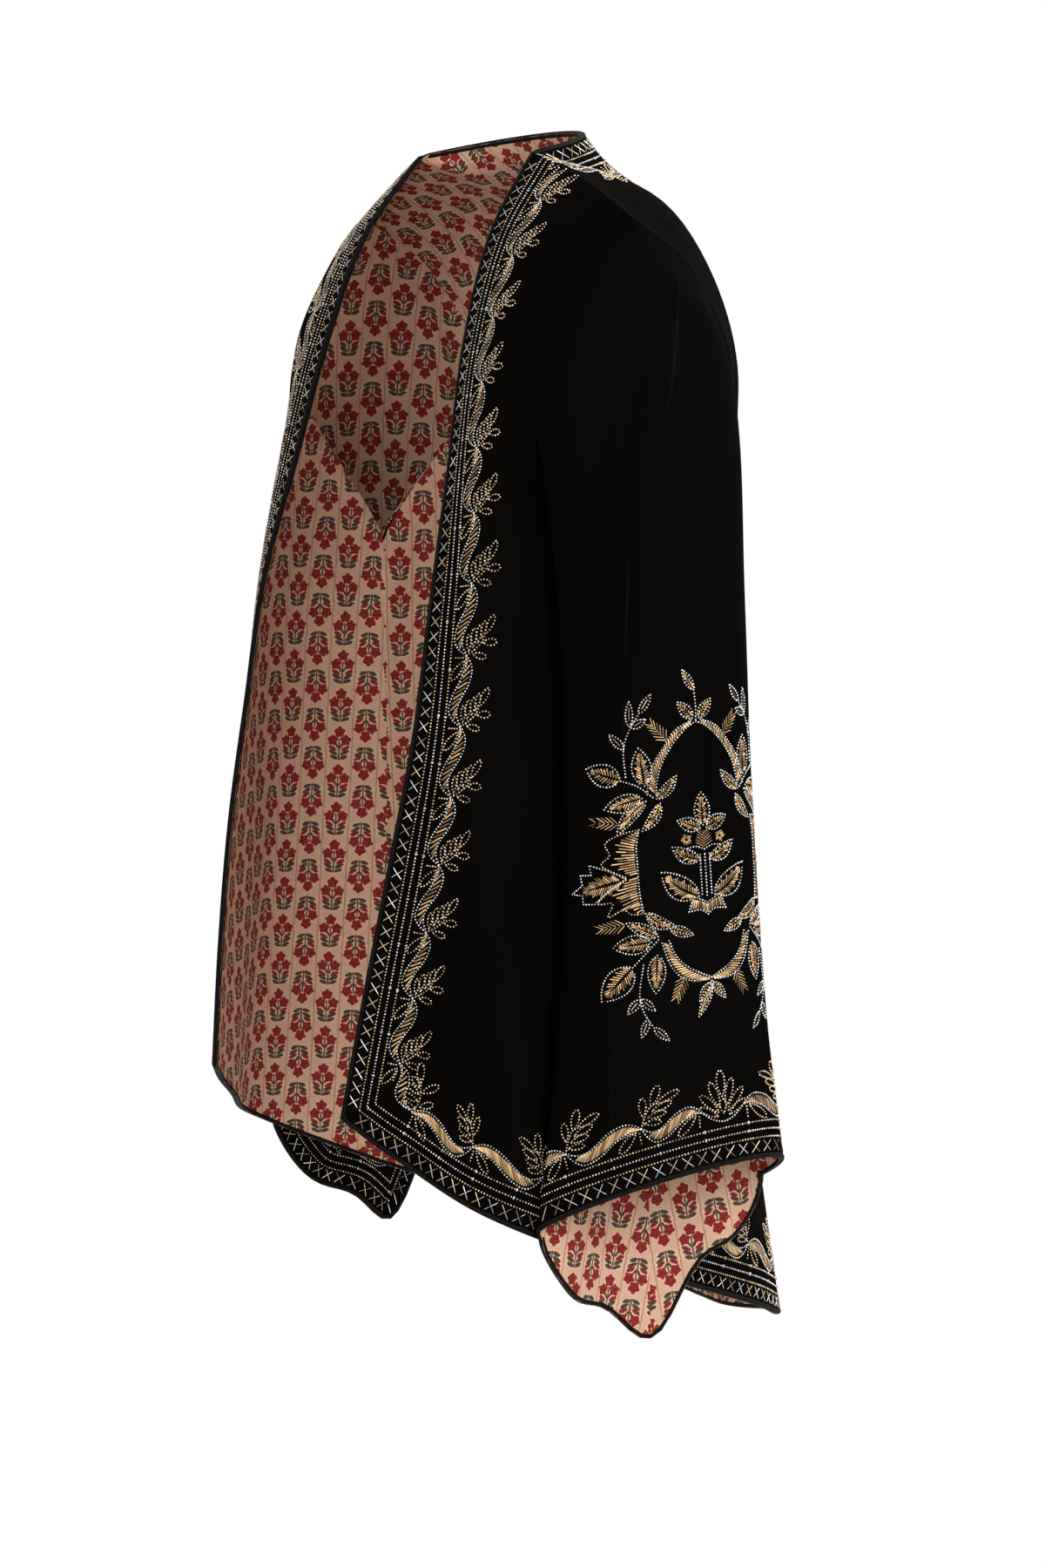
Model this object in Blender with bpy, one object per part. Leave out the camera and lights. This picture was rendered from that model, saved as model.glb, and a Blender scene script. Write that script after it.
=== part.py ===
"""Open-fronted velvet jacket with wide hanging sleeves, in the shape it takes when worn.

Metres, +Z up, the front faces -Y and the wearer's left is +X. The origin is the middle of the
neck at the height where the shoulder seams start. Each cut piece is a wall with its own thickness,
worked out from section tables of the left half. The right half is its mirror image.
"""

import math
from collections import namedtuple

import bmesh
import bpy
import numpy as np

# Cloth and trim
VELVET_THICK = 0.0016
LINING_THICK = 0.0010
SEAM_GAP = 0.0003
BINDING_WIDTH = 0.004
BINDING_PROUD = 0.0003
CURVE_EASE = 0.0015
ARMHOLE_EASE = 0.0008

# Grid of each piece: columns across, rows down
NECK_COLUMNS = 4
SHOULDER_COLUMNS = 8
ROWS = 16
UNDERARM_ROW = 6
SLEEVE_RINGS = 12
SLEEVE_FIRST_RING = 0.02
SLEEVE_COLUMNS = 24

# Neck and shoulder line of the left half
NECK_HALF_WIDTH = 0.078
NECK_SIDE_Y = 0.015
NECK_DEPTH = 0.065
NECK_RISE = 0.0145
SHOULDER_END = (0.180, 0.030, -0.040)
SHOULDER_ARCH = 0.004

# One row of points across the left front, from the open edge round to the side seam
FrontSection = namedtuple("FrontSection", "edge middle flank side")
FRONT_SECTIONS = tuple(FrontSection(*row) for row in (
    ((0.0885, -0.019, -0.050), (0.122, -0.017, -0.056), (0.150, -0.013, -0.066), (0.1780, -0.006, -0.085)),
    ((0.0975, -0.041, -0.115), (0.128, -0.043, -0.122), (0.150, -0.041, -0.131), (0.1680, -0.031, -0.150)),
    ((0.1100, -0.058, -0.190), (0.144, -0.056, -0.203), (0.170, -0.028, -0.225), (0.1660, 0.030, -0.250)),
    ((0.1225, -0.076, -0.268), (0.156, -0.064, -0.281), (0.177, -0.026, -0.305), (0.1635, 0.030, -0.330)),
    ((0.1245, -0.088, -0.345), (0.160, -0.068, -0.361), (0.179, -0.028, -0.386), (0.1625, 0.030, -0.410)),
    ((0.1200, -0.102, -0.422), (0.158, -0.075, -0.441), (0.181, -0.033, -0.468), (0.1640, 0.030, -0.492)),
    ((0.1100, -0.114, -0.500), (0.154, -0.084, -0.524), (0.184, -0.039, -0.551), (0.1670, 0.030, -0.577)),
    ((0.0980, -0.124, -0.577), (0.149, -0.093, -0.609), (0.188, -0.045, -0.637), (0.1715, 0.030, -0.669)),
))

# One row of points across the left half of the back, from its centre round to the side seam
BackSection = namedtuple("BackSection", "centre neck blade side")
BACK_SECTIONS = tuple(BackSection(*row) for row in (
    ((0.0, 0.112, -0.034), (0.082, 0.100, -0.030), (0.134, 0.090, -0.046), (0.1770, 0.076, -0.077)),
    ((0.0, 0.131, -0.126), (0.085, 0.136, -0.118), (0.132, 0.128, -0.128), (0.1680, 0.102, -0.150)),
    ((0.0, 0.138, -0.230), (0.084, 0.144, -0.224), (0.144, 0.112, -0.232), (0.1660, 0.030, -0.250)),
    ((0.0, 0.139, -0.322), (0.082, 0.146, -0.320), (0.142, 0.108, -0.322), (0.1635, 0.030, -0.330)),
    ((0.0, 0.142, -0.418), (0.081, 0.147, -0.414), (0.140, 0.110, -0.412), (0.1625, 0.030, -0.410)),
    ((0.0, 0.150, -0.518), (0.080, 0.153, -0.512), (0.140, 0.118, -0.506), (0.1640, 0.030, -0.492)),
    ((0.0, 0.163, -0.624), (0.080, 0.164, -0.617), (0.139, 0.135, -0.605), (0.1670, 0.030, -0.577)),
    ((0.0, 0.180, -0.738), (0.080, 0.179, -0.731), (0.136, 0.157, -0.717), (0.1715, 0.030, -0.669)),
))

# One ring of points round the left sleeve, below the armhole
SleeveSection = namedtuple("SleeveSection", "down inner front outer rear")
SLEEVE_SECTIONS = tuple(SleeveSection(*row) for row in (
    (0.10, (0.1775, 0.032, -0.262), (0.1815, -0.029, -0.172), (0.203, 0.034, -0.088), (0.181, 0.099, -0.176)),
    (0.30, (0.1805, 0.034, -0.345), (0.1890, -0.021, -0.282), (0.221, 0.038, -0.212), (0.191, 0.098, -0.278)),
    (0.55, (0.1820, 0.038, -0.465), (0.1925, -0.020, -0.418), (0.230, 0.044, -0.366), (0.197, 0.099, -0.410)),
    (0.80, (0.1830, 0.040, -0.587), (0.1945, -0.029, -0.542), (0.235, 0.052, -0.500), (0.199, 0.103, -0.527)),
    (1.00, (0.1835, 0.042, -0.674), (0.1960, -0.041, -0.634), (0.238, 0.0600, -0.597), (0.200, 0.111, -0.614)),
))

# Folds: across and width as shares of the piece's width, start as a share of its length
# and depth as it is at the hem, positive outwards
Fold = namedtuple("Fold", "across width depth start")
FRONT_FOLDS = (
    Fold(0.30, 0.13, -0.0050, 0.30),
    Fold(0.62, 0.15, 0.0035, 0.45),
)
BACK_FOLDS = (
    Fold(0.16, 0.12, -0.0050, 0.45),
    Fold(0.38, 0.10, 0.0050, 0.50),
    Fold(0.62, 0.11, -0.0045, 0.50),
)
SLEEVE_FOLDS = (
    Fold(0.055, 0.045, 0.0045, 0.55),
    Fold(0.905, 0.050, -0.0060, 0.50),
    Fold(0.150, 0.045, -0.0040, 0.60),
)

# How far the hem of the sleeve drops below its ring: turn 0 is the inner middle, 0.25 the front
Drop = namedtuple("Drop", "turn width depth")
SLEEVE_DROPS = (
    Drop(0.000, 0.050, 0.036),
    Drop(0.110, 0.070, 0.014),
    Drop(0.930, 0.035, -0.006),
)

MATERIAL_LOOKS = {
    "velvet": ((0.006, 0.005, 0.005, 1.0), 0.85),
    "lining": ((0.55, 0.30, 0.21, 1.0), 0.80),
    "binding": ((0.016, 0.010, 0.007, 1.0), 0.55),
}


def curve_through(points, places, at):
    """A smooth curve through points at the given places, read at one place."""
    points = [np.array(point, float) for point in points]
    last = len(points) - 1
    index = min(max(int(np.searchsorted(places, at, side="right")) - 1, 0), last - 1)
    span = places[index + 1] - places[index]
    share = (at - places[index]) / span

    def slope(i):
        low, high = max(i - 1, 0), min(i + 1, last)
        return (points[high] - points[low]) / (places[high] - places[low]) * span

    square, cube = share * share, share**3
    return (
        points[index] * (2 * cube - 3 * square + 1)
        + slope(index) * (cube - 2 * square + share)
        + points[index + 1] * (3 * square - 2 * cube)
        + slope(index + 1) * (cube - square)
    )


def shoulder_line(share):
    """A point of the shoulder seam, from the neck (0) to its outer end (1)."""
    start = np.array((NECK_HALF_WIDTH, NECK_SIDE_Y, 0.0))
    point = start + (np.array(SHOULDER_END) - start) * share
    point[2] += SHOULDER_ARCH * math.sin(math.pi * share)
    return point


def back_neck(share):
    """A point of the neckline, from the centre of the back (0) to the shoulder seam (1)."""
    angle = share * math.pi / 2
    x = NECK_HALF_WIDTH * math.sin(angle)
    y = NECK_SIDE_Y + NECK_DEPTH * math.cos(angle)
    return np.array((x, y, NECK_RISE * math.cos(angle)))


def down_through(rows, v):
    """A point down a column of evenly spaced section points."""
    places = [index / (len(rows) - 1) for index in range(len(rows))]
    return curve_through(rows, places, v)


def fold_offset(folds, across, v):
    """How far the folds move a point out of the cloth's plain form."""
    offset = 0.0
    for fold in folds:
        growth = max(0.0, (v - fold.start) / (1 - fold.start))
        grown = growth * growth * (3 - 2 * growth)
        offset += fold.depth * grown * math.exp(-(((across - fold.across) / fold.width) ** 2))
    return offset


def front_point(u, v):
    """A point of the left front: u from the open edge to the side, v from the shoulder to the hem."""
    places = (0.0, 0.34, 0.68, 1.0)
    rows = [shoulder_line(u)] + [curve_through(section, places, u) for section in FRONT_SECTIONS]
    return down_through(rows, v)


def back_point(u, v):
    """A point of the back's left half: u from its centre to the side, v from the neck to the hem."""
    neck_share = NECK_COLUMNS / (NECK_COLUMNS + SHOULDER_COLUMNS)
    places = (0.0, neck_share, 0.66, 1.0)
    if u <= neck_share:
        top = back_neck(u / neck_share)
    else:
        top = shoulder_line((u - neck_share) / (1 - neck_share))
    rows = [top] + [curve_through(section, places, u) for section in BACK_SECTIONS]
    return down_through(rows, v)


def armhole_point(turn):
    """A point of the armhole: 0 at the underarm, round by the front, 0.5 at the shoulder, back to 1."""
    underarm = UNDERARM_ROW / ROWS
    if turn <= 0.5:
        return front_point(1.0, underarm * (1 - turn / 0.5))
    return back_point(1.0, underarm * (turn - 0.5) / 0.5)


def ring_point(section, turn):
    """A point of a sleeve ring, as quarter ellipses through its four named points."""
    anchors = [np.array(point) for point in (section.inner, section.front, section.outer, section.rear)]
    centre = (anchors[1] + anchors[3]) / 2
    quarter = min(int(turn * 4), 3)
    angle = (turn * 4 - quarter) * math.pi / 2
    here, following = anchors[quarter], anchors[(quarter + 1) % 4]
    return centre + (here - centre) * math.cos(angle) + (following - centre) * math.sin(angle)


def sleeve_point(turn, w):
    """A point of the left sleeve: turn round it, w from the armhole (0) to the cuff's edge (1)."""
    rows = [armhole_point(turn)] + [ring_point(section, turn) for section in SLEEVE_SECTIONS]
    places = (0.0,) + tuple(section.down for section in SLEEVE_SECTIONS)
    point = curve_through(rows, places, w)
    growth = max(0.0, (w - 0.4) / 0.6) ** 2
    for drop in SLEEVE_DROPS:
        apart = abs(turn - drop.turn)
        apart = min(apart, 1 - apart)
        point[2] -= drop.depth * growth * math.exp(-((apart / drop.width) ** 2))
    return point


def grid_of(point_at, columns, rows):
    """Points of a piece at every column and at the given shares of its length."""
    return np.array([[point_at(c / columns, row) for c in range(columns + 1)] for row in rows])


def even_rows(count):
    return [row / count for row in range(count + 1)]


def grid_normals(grid, closed=False):
    """A unit normal at each grid point, from the steps across and down."""
    if closed:
        ring = grid[:, :-1]
        across = np.roll(ring, -1, axis=1) - np.roll(ring, 1, axis=1)
        across = np.concatenate([across, across[:, :1]], axis=1)
    else:
        across = np.gradient(grid, axis=1)
    down = np.gradient(grid, axis=0)
    return unit(np.cross(down, across))


def folded(grid, normals, folds, rows):
    """The grid with its folds pushed in and out."""
    columns = grid.shape[1] - 1
    offsets = [[fold_offset(folds, c / columns, row) for c in range(columns + 1)] for row in rows]
    return grid + normals * np.array(offsets)[:, :, None]


def unit(vectors):
    return vectors / np.linalg.norm(vectors, axis=-1, keepdims=True)


def inward(line, normals, neighbours, closed=False):
    """Unit steps square to a line of edge points, within the cloth and towards its neighbours."""
    if closed:
        ahead = np.roll(line, -1, axis=0) - np.roll(line, 1, axis=0)
    else:
        ahead = np.gradient(line, axis=0)
    side = unit(np.cross(normals, ahead))
    return side * np.sign(np.sum(side * (neighbours - line), axis=1))[:, None]


def mirrored(grid):
    """The grid's mirror image for the other half of the garment, its columns reversed."""
    return grid[:, ::-1] * np.array((-1.0, 1.0, 1.0))


class Body:
    """Fronts and back as grids that share the points and normals of their seams."""

    def __init__(self):
        self.front = grid_of(front_point, SHOULDER_COLUMNS, even_rows(ROWS))
        self.back = grid_of(back_point, NECK_COLUMNS + SHOULDER_COLUMNS, even_rows(ROWS))
        self.front = folded(self.front, grid_normals(self.front), FRONT_FOLDS, even_rows(ROWS))
        self.back = folded(self.back, -grid_normals(self.back), BACK_FOLDS, even_rows(ROWS))
        side = (self.front[UNDERARM_ROW:, -1] + self.back[UNDERARM_ROW:, -1]) / 2
        self.front[UNDERARM_ROW:, -1] = side
        self.back[UNDERARM_ROW:, -1] = side
        self.front_normals = grid_normals(self.front)
        whole_back = both_halves(self.back)
        self.back_normals = -grid_normals(whole_back)[:, self.back.shape[1] - 1:]
        self.share_seams()

    def share_seams(self):
        """Gives both pieces at a seam the same normal, so that their walls meet and don't cross."""
        front, back = self.front_normals, self.back_normals
        shoulder = unit(front[0] + back[0, NECK_COLUMNS:])
        front[0] = shoulder
        back[0, NECK_COLUMNS:] = shoulder
        side = unit(front[UNDERARM_ROW:, -1] + back[UNDERARM_ROW:, -1])
        front[UNDERARM_ROW:, -1] = side
        back[UNDERARM_ROW:, -1] = side

    def front_inset(self, edge):
        """The left front with its free edges moved in, and half a gap taken at its seams."""
        grid, normals = self.front, self.front_normals
        moved = grid.copy()
        moved[0] += inward(grid[0], normals[0], grid[1]) * SEAM_GAP / 2
        moved[-1] += inward(grid[-1], normals[-1], grid[-2]) * edge
        opening = inward(grid[:, 0], normals[:, 0], grid[:, 1])
        opening[0] = unit(grid[0, 1] - grid[0, 0])
        moved[:, 0] += opening * edge
        moved[:, -1] += inward(grid[:, -1], normals[:, -1], grid[:, -2]) * SEAM_GAP / 2
        return moved

    def back_inset(self, edge):
        """The back's left half with its neck and hem moved in, and half a gap taken at its seams."""
        grid, normals = self.back, self.back_normals
        moved = grid.copy()
        top = inward(grid[0], normals[0], grid[1])
        curve = slice(0, NECK_COLUMNS + 1)
        neck = inward(grid[0, curve], normals[0, curve], grid[1, curve])
        moved[0, NECK_COLUMNS:] += top[NECK_COLUMNS:] * SEAM_GAP / 2
        ease = CURVE_EASE if edge > BINDING_WIDTH else 0.0
        moved[0, :NECK_COLUMNS] += neck[:-1] * (edge + ease)
        moved[0, NECK_COLUMNS] += unit(grid[0, NECK_COLUMNS + 1] - grid[0, NECK_COLUMNS]) * edge
        moved[-1] += inward(grid[-1], normals[-1], grid[-2]) * edge
        moved[:, -1] += inward(grid[:, -1], normals[:, -1], grid[:, -2]) * SEAM_GAP / 2
        moved[:, 0, 0] = 0.0
        return moved

    def edge_line(self, edge):
        """The garment's free edge as one closed line, moved in by a distance, with its normals."""
        line = closed_line(self.front_inset(edge), both_halves(self.back_inset(edge)))
        normals = closed_line(self.front_normals, both_halves(self.back_normals))
        return line, normals


def both_halves(half):
    """A whole row of columns from its left half, whose first column lies on the middle plane."""
    return np.concatenate([mirrored(half), half[:, 1:]], axis=1)


def closed_line(front, back):
    """Edge values from the left hem up, round the neck, down the right front and along the hem."""
    other_front = mirrored(front)
    middle = back.shape[1] // 2
    neck = back[0, middle - NECK_COLUMNS + 1:middle + NECK_COLUMNS]
    right_hem, left_hem = other_front[-1, -2:0:-1], front[-1, -2:0:-1]
    parts = (front[::-1, 0], neck[::-1], other_front[:, -1], right_hem, back[-1], left_hem)
    return np.concatenate(parts)


class Sleeve:
    """The left sleeve as rings from the armhole to the cuff, the last column equal to the first."""

    def __init__(self, body):
        rows = [0.0, SLEEVE_FIRST_RING] + even_rows(SLEEVE_RINGS)[1:]
        self.grid = grid_of(sleeve_point, SLEEVE_COLUMNS, rows)
        self.grid = folded(self.grid, grid_normals(self.grid, closed=True), SLEEVE_FOLDS, rows)
        self.join_armhole(body)
        self.normals = grid_normals(self.grid, closed=True)

    def join_armhole(self, body):
        """Starts the sleeve just outside the body's edge, by the gap and what the body's wall takes."""
        up_front = slice(UNDERARM_ROW, None, -1)
        points = np.concatenate([body.front[up_front, -1], body.back[1:UNDERARM_ROW + 1, -1]])
        facing = [body.front_normals[up_front, -1], body.back_normals[1:UNDERARM_ROW + 1, -1]]
        facing = np.concatenate(facing)
        step = SLEEVE_COLUMNS // (2 * UNDERARM_ROW)
        away = unit(self.grid[1, ::step] - points)
        across = np.abs(np.sum(away * facing, axis=1))[:, None]
        started = points + away * (SEAM_GAP + ARMHOLE_EASE + VELVET_THICK * across)
        self.grid[0, ::step] = started
        self.grid[0, 1::step] = (started[:-1] + started[1:]) / 2

    def inset(self, edge):
        """The rings with the cuff's edge moved up."""
        ring, above = self.grid[-1, :-1], self.grid[-2, :-1]
        moved = self.grid.copy()
        moved[-1, :-1] += inward(ring, self.normals[-1, :-1], above, closed=True) * edge
        moved[-1, -1] = moved[-1, 0]
        return moved


def wall(name, grid, normals, outside, inside, look, closed=False):
    """A closed wall between two offsets of a grid. A negative offset lies inside the surface."""
    columns = grid.shape[1] - 1 if closed else grid.shape[1]
    rows = grid.shape[0]
    mesh = bmesh.new()
    layers = []
    for offset in (outside, inside):
        points = grid + normals * offset
        layers.append([[mesh.verts.new(points[r, c]) for c in range(columns)] for r in range(rows)])
    outer, inner = layers
    spans = columns if closed else columns - 1
    for r in range(rows - 1):
        for c in range(spans):
            d = (c + 1) % columns
            falling = np.linalg.norm(grid[r, c] - grid[r + 1, c + 1])
            rising = np.linalg.norm(grid[r + 1, c] - grid[r, c + 1])
            for layer in layers:
                corners = [layer[r][c], layer[r + 1][c], layer[r + 1][d], layer[r][d]]
                if rising < falling:
                    corners = corners[1:] + corners[:1]
                mesh.faces.new((corners[0], corners[1], corners[2]))
                mesh.faces.new((corners[0], corners[2], corners[3]))
    for c in range(spans):
        d = (c + 1) % columns
        mesh.faces.new((outer[0][c], outer[0][d], inner[0][d], inner[0][c]))
        mesh.faces.new((outer[-1][d], outer[-1][c], inner[-1][c], inner[-1][d]))
    if not closed:
        for r in range(rows - 1):
            mesh.faces.new((outer[r + 1][0], outer[r][0], inner[r][0], inner[r + 1][0]))
            mesh.faces.new((outer[r][-1], outer[r + 1][-1], inner[r + 1][-1], inner[r][-1]))
    return finished(name, mesh, look)


def finished(name, mesh, look):
    """Triangulates the mesh, turns its faces outward and makes it an object in the garment's collection."""
    bmesh.ops.triangulate(mesh, faces=mesh.faces)
    bmesh.ops.recalc_face_normals(mesh, faces=mesh.faces)
    data = bpy.data.meshes.new(name)
    mesh.to_mesh(data)
    mesh.free()
    data.materials.append(material(look))
    data.shade_smooth()
    data.set_sharp_from_angle(angle=math.radians(50))
    thing = bpy.data.objects.new(name, data)
    jacket_collection().objects.link(thing)
    return thing


def band(name, outer_line, inner_line, normals, look):
    """A closed band of four-sided section between two lines that run side by side."""
    thick = VELVET_THICK + SEAM_GAP + LINING_THICK
    rails = (
        outer_line + normals * BINDING_PROUD,
        inner_line + normals * BINDING_PROUD,
        inner_line - normals * (thick + BINDING_PROUD),
        outer_line - normals * (thick + BINDING_PROUD),
    )
    mesh = bmesh.new()
    verts = [[mesh.verts.new(point) for point in rail] for rail in rails]
    count = len(outer_line)
    for i in range(count):
        j = (i + 1) % count
        for rail in range(4):
            following = (rail + 1) % 4
            mesh.faces.new((verts[rail][i], verts[rail][j], verts[following][j], verts[following][i]))
    return finished(name, mesh, look)


def material(look):
    """The plain material of one kind of cloth."""
    found = bpy.data.materials.get(look)
    if found:
        return found
    colour, roughness = MATERIAL_LOOKS[look]
    made = bpy.data.materials.new(look)
    made.use_nodes = True
    shader = made.node_tree.nodes["Principled BSDF"]
    shader.inputs["Base Color"].default_value = colour
    shader.inputs["Roughness"].default_value = roughness
    shader.inputs["Metallic"].default_value = 0.0
    return made


def jacket_collection():
    found = bpy.data.collections.get("velvet_jacket")
    if found:
        return found
    made = bpy.data.collections.new("velvet_jacket")
    bpy.context.scene.collection.children.link(made)
    return made


def make_velvet(name, grid, normals, closed=False):
    wall(name, grid, normals, 0.0, -VELVET_THICK, "velvet", closed)


def make_lining(name, grid, normals, closed=False):
    """The lining that lies a gap inside its velvet piece."""
    start = VELVET_THICK + SEAM_GAP
    wall("lining_" + name, grid, normals, -start, -(start + LINING_THICK), "lining", closed)


def make_body(body):
    edge = BINDING_WIDTH + SEAM_GAP
    front = body.front_inset(edge)
    back = both_halves(body.back_inset(edge))
    for make in (make_velvet, make_lining):
        make("front_left", front, body.front_normals)
        make("front_right", mirrored(front), mirrored(body.front_normals))
        make("back", back, both_halves(body.back_normals))


def make_sleeves(sleeve):
    edge = BINDING_WIDTH + SEAM_GAP + CURVE_EASE
    for make, first in ((make_velvet, 0), (make_lining, 1)):
        grid, normals = sleeve.inset(edge)[first:], sleeve.normals[first:]
        make("sleeve_left", grid, normals, closed=True)
        make("sleeve_right", mirrored(grid), mirrored(normals), closed=True)


def make_bindings(body, sleeve):
    outer_line, normals = body.edge_line(0.0)
    inner_line, _ = body.edge_line(BINDING_WIDTH)
    band("binding_body", outer_line, inner_line, normals, "binding")
    rings = [sleeve.inset(edge)[-1:, :-1] for edge in (0.0, BINDING_WIDTH)] + [sleeve.normals[-1:, :-1]]
    band("binding_cuff_left", *[ring[0] for ring in rings], "binding")
    band("binding_cuff_right", *[mirrored(ring)[0] for ring in rings], "binding")


def main():
    for thing in list(bpy.data.objects):
        bpy.data.objects.remove(thing, do_unlink=True)
    body = Body()
    sleeve = Sleeve(body)
    make_body(body)
    make_sleeves(sleeve)
    make_bindings(body, sleeve)


main()
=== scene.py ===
"""Open-fronted velvet jacket with beaded borders, a beaded wreath on each sleeve and a printed lining.

Metres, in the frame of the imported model: +Z up, the front faces -Y and the wearer's left is +X.
Each cut piece is a grid over the garment's form. The same grid, laid flat, carries the needlework:
a motif is charted in millimetres on the flat piece and lifted from there onto the cloth.
"""

import math
from collections import namedtuple

import bmesh
import bpy
import numpy as np
from bpy.props import FloatProperty, FloatVectorProperty, PointerProperty
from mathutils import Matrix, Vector
from mathutils.bvhtree import BVHTree


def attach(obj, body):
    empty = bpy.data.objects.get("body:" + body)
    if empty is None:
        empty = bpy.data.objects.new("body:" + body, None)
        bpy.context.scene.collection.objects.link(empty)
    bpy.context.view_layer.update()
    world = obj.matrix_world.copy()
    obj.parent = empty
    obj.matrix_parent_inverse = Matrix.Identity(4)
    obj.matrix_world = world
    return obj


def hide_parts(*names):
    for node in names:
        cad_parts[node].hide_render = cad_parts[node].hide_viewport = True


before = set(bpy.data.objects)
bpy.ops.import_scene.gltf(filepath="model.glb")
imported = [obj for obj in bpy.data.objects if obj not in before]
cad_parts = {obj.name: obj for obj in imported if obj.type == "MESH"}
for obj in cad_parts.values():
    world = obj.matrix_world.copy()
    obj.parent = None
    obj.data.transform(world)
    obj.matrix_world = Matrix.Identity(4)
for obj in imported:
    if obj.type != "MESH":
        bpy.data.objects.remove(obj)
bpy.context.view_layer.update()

bl_info = {
    "name": "Velvet jacket with beaded borders",
    "version": (1, 0, 0),
    "blender": (4, 5, 0),
    "location": "3D View > Sidebar > Jacket",
    "description": "Dresses the jacket's cut pieces in velvet, lining, binding and beadwork",
    "category": "Object",
}

MM = 0.001
MIRROR = np.array((-1.0, 1.0, 1.0))
SHARP_ANGLE = math.radians(60)
RANDOM_SEED = 11

# Cloth, from the outside inwards
VELVET_THICK = 1.6 * MM
LINING_START = 1.9 * MM
LINING_END = 2.9 * MM
SEAM_GAP = 0.3 * MM
SEAM_DIP = 0.7 * MM

# Grid of each piece: columns across, rows down
NECK_COLUMNS = 16
SHOULDER_COLUMNS = 32
ROWS = 96
UNDERARM_ROW = 36
SLEEVE_RINGS = 80
SLEEVE_COLUMNS = 72

# Neck and shoulder line of the left half
NECK_HALF_WIDTH = 0.078
NECK_SIDE_Y = 0.015
NECK_DEPTH = 0.065
NECK_RISE = 0.0145
SHOULDER_END = (0.180, 0.030, -0.040)
SHOULDER_ARCH = 0.004

# One row of points across the left front, from the open edge round to the side seam
FRONT_PLACES = (0.0, 0.34, 0.68, 1.0)
FRONT_SECTIONS = (
    ((0.0885, -0.019, -0.050), (0.122, -0.017, -0.056), (0.150, -0.013, -0.066), (0.1780, -0.006, -0.085)),
    ((0.0975, -0.041, -0.115), (0.128, -0.043, -0.122), (0.150, -0.041, -0.131), (0.1680, -0.031, -0.150)),
    ((0.1100, -0.058, -0.190), (0.144, -0.056, -0.203), (0.170, -0.028, -0.225), (0.1660, 0.030, -0.250)),
    ((0.1225, -0.076, -0.268), (0.156, -0.064, -0.281), (0.177, -0.026, -0.305), (0.1635, 0.030, -0.330)),
    ((0.1245, -0.088, -0.345), (0.160, -0.068, -0.361), (0.179, -0.028, -0.386), (0.1625, 0.030, -0.410)),
    ((0.1200, -0.102, -0.422), (0.158, -0.075, -0.441), (0.181, -0.033, -0.468), (0.1640, 0.030, -0.492)),
    ((0.1100, -0.114, -0.500), (0.154, -0.084, -0.524), (0.184, -0.039, -0.551), (0.1670, 0.030, -0.577)),
    ((0.0980, -0.124, -0.577), (0.149, -0.093, -0.609), (0.188, -0.045, -0.637), (0.1715, 0.030, -0.669)),
)

# One row of points across the left half of the back, from its centre round to the side seam
BACK_PLACES = (0.0, 1 / 3, 0.66, 1.0)
BACK_SECTIONS = (
    ((0.0, 0.112, -0.034), (0.082, 0.100, -0.030), (0.134, 0.090, -0.046), (0.1770, 0.076, -0.077)),
    ((0.0, 0.131, -0.126), (0.085, 0.136, -0.118), (0.132, 0.128, -0.128), (0.1680, 0.102, -0.150)),
    ((0.0, 0.138, -0.230), (0.084, 0.144, -0.224), (0.144, 0.112, -0.232), (0.1660, 0.030, -0.250)),
    ((0.0, 0.139, -0.322), (0.082, 0.146, -0.320), (0.142, 0.108, -0.322), (0.1635, 0.030, -0.330)),
    ((0.0, 0.142, -0.418), (0.081, 0.147, -0.414), (0.140, 0.110, -0.412), (0.1625, 0.030, -0.410)),
    ((0.0, 0.150, -0.518), (0.080, 0.153, -0.512), (0.140, 0.118, -0.506), (0.1640, 0.030, -0.492)),
    ((0.0, 0.163, -0.624), (0.080, 0.164, -0.617), (0.139, 0.135, -0.605), (0.1670, 0.030, -0.577)),
    ((0.0, 0.180, -0.738), (0.080, 0.179, -0.731), (0.136, 0.157, -0.717), (0.1715, 0.030, -0.669)),
)

# One ring of points round the left sleeve: inner middle, front, outer middle, rear
SLEEVE_PLACES = (0.0, 0.10, 0.30, 0.55, 0.80, 1.00)
SLEEVE_SECTIONS = (
    ((0.1775, 0.032, -0.262), (0.1815, -0.029, -0.172), (0.203, 0.034, -0.088), (0.181, 0.099, -0.176)),
    ((0.1805, 0.034, -0.345), (0.1890, -0.021, -0.282), (0.221, 0.038, -0.212), (0.191, 0.098, -0.278)),
    ((0.1820, 0.038, -0.465), (0.1925, -0.020, -0.418), (0.230, 0.044, -0.366), (0.197, 0.099, -0.410)),
    ((0.1830, 0.040, -0.587), (0.1945, -0.029, -0.542), (0.235, 0.052, -0.500), (0.199, 0.103, -0.527)),
    ((0.1835, 0.042, -0.674), (0.1960, -0.041, -0.634), (0.238, 0.060, -0.597), (0.200, 0.111, -0.614)),
)

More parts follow.
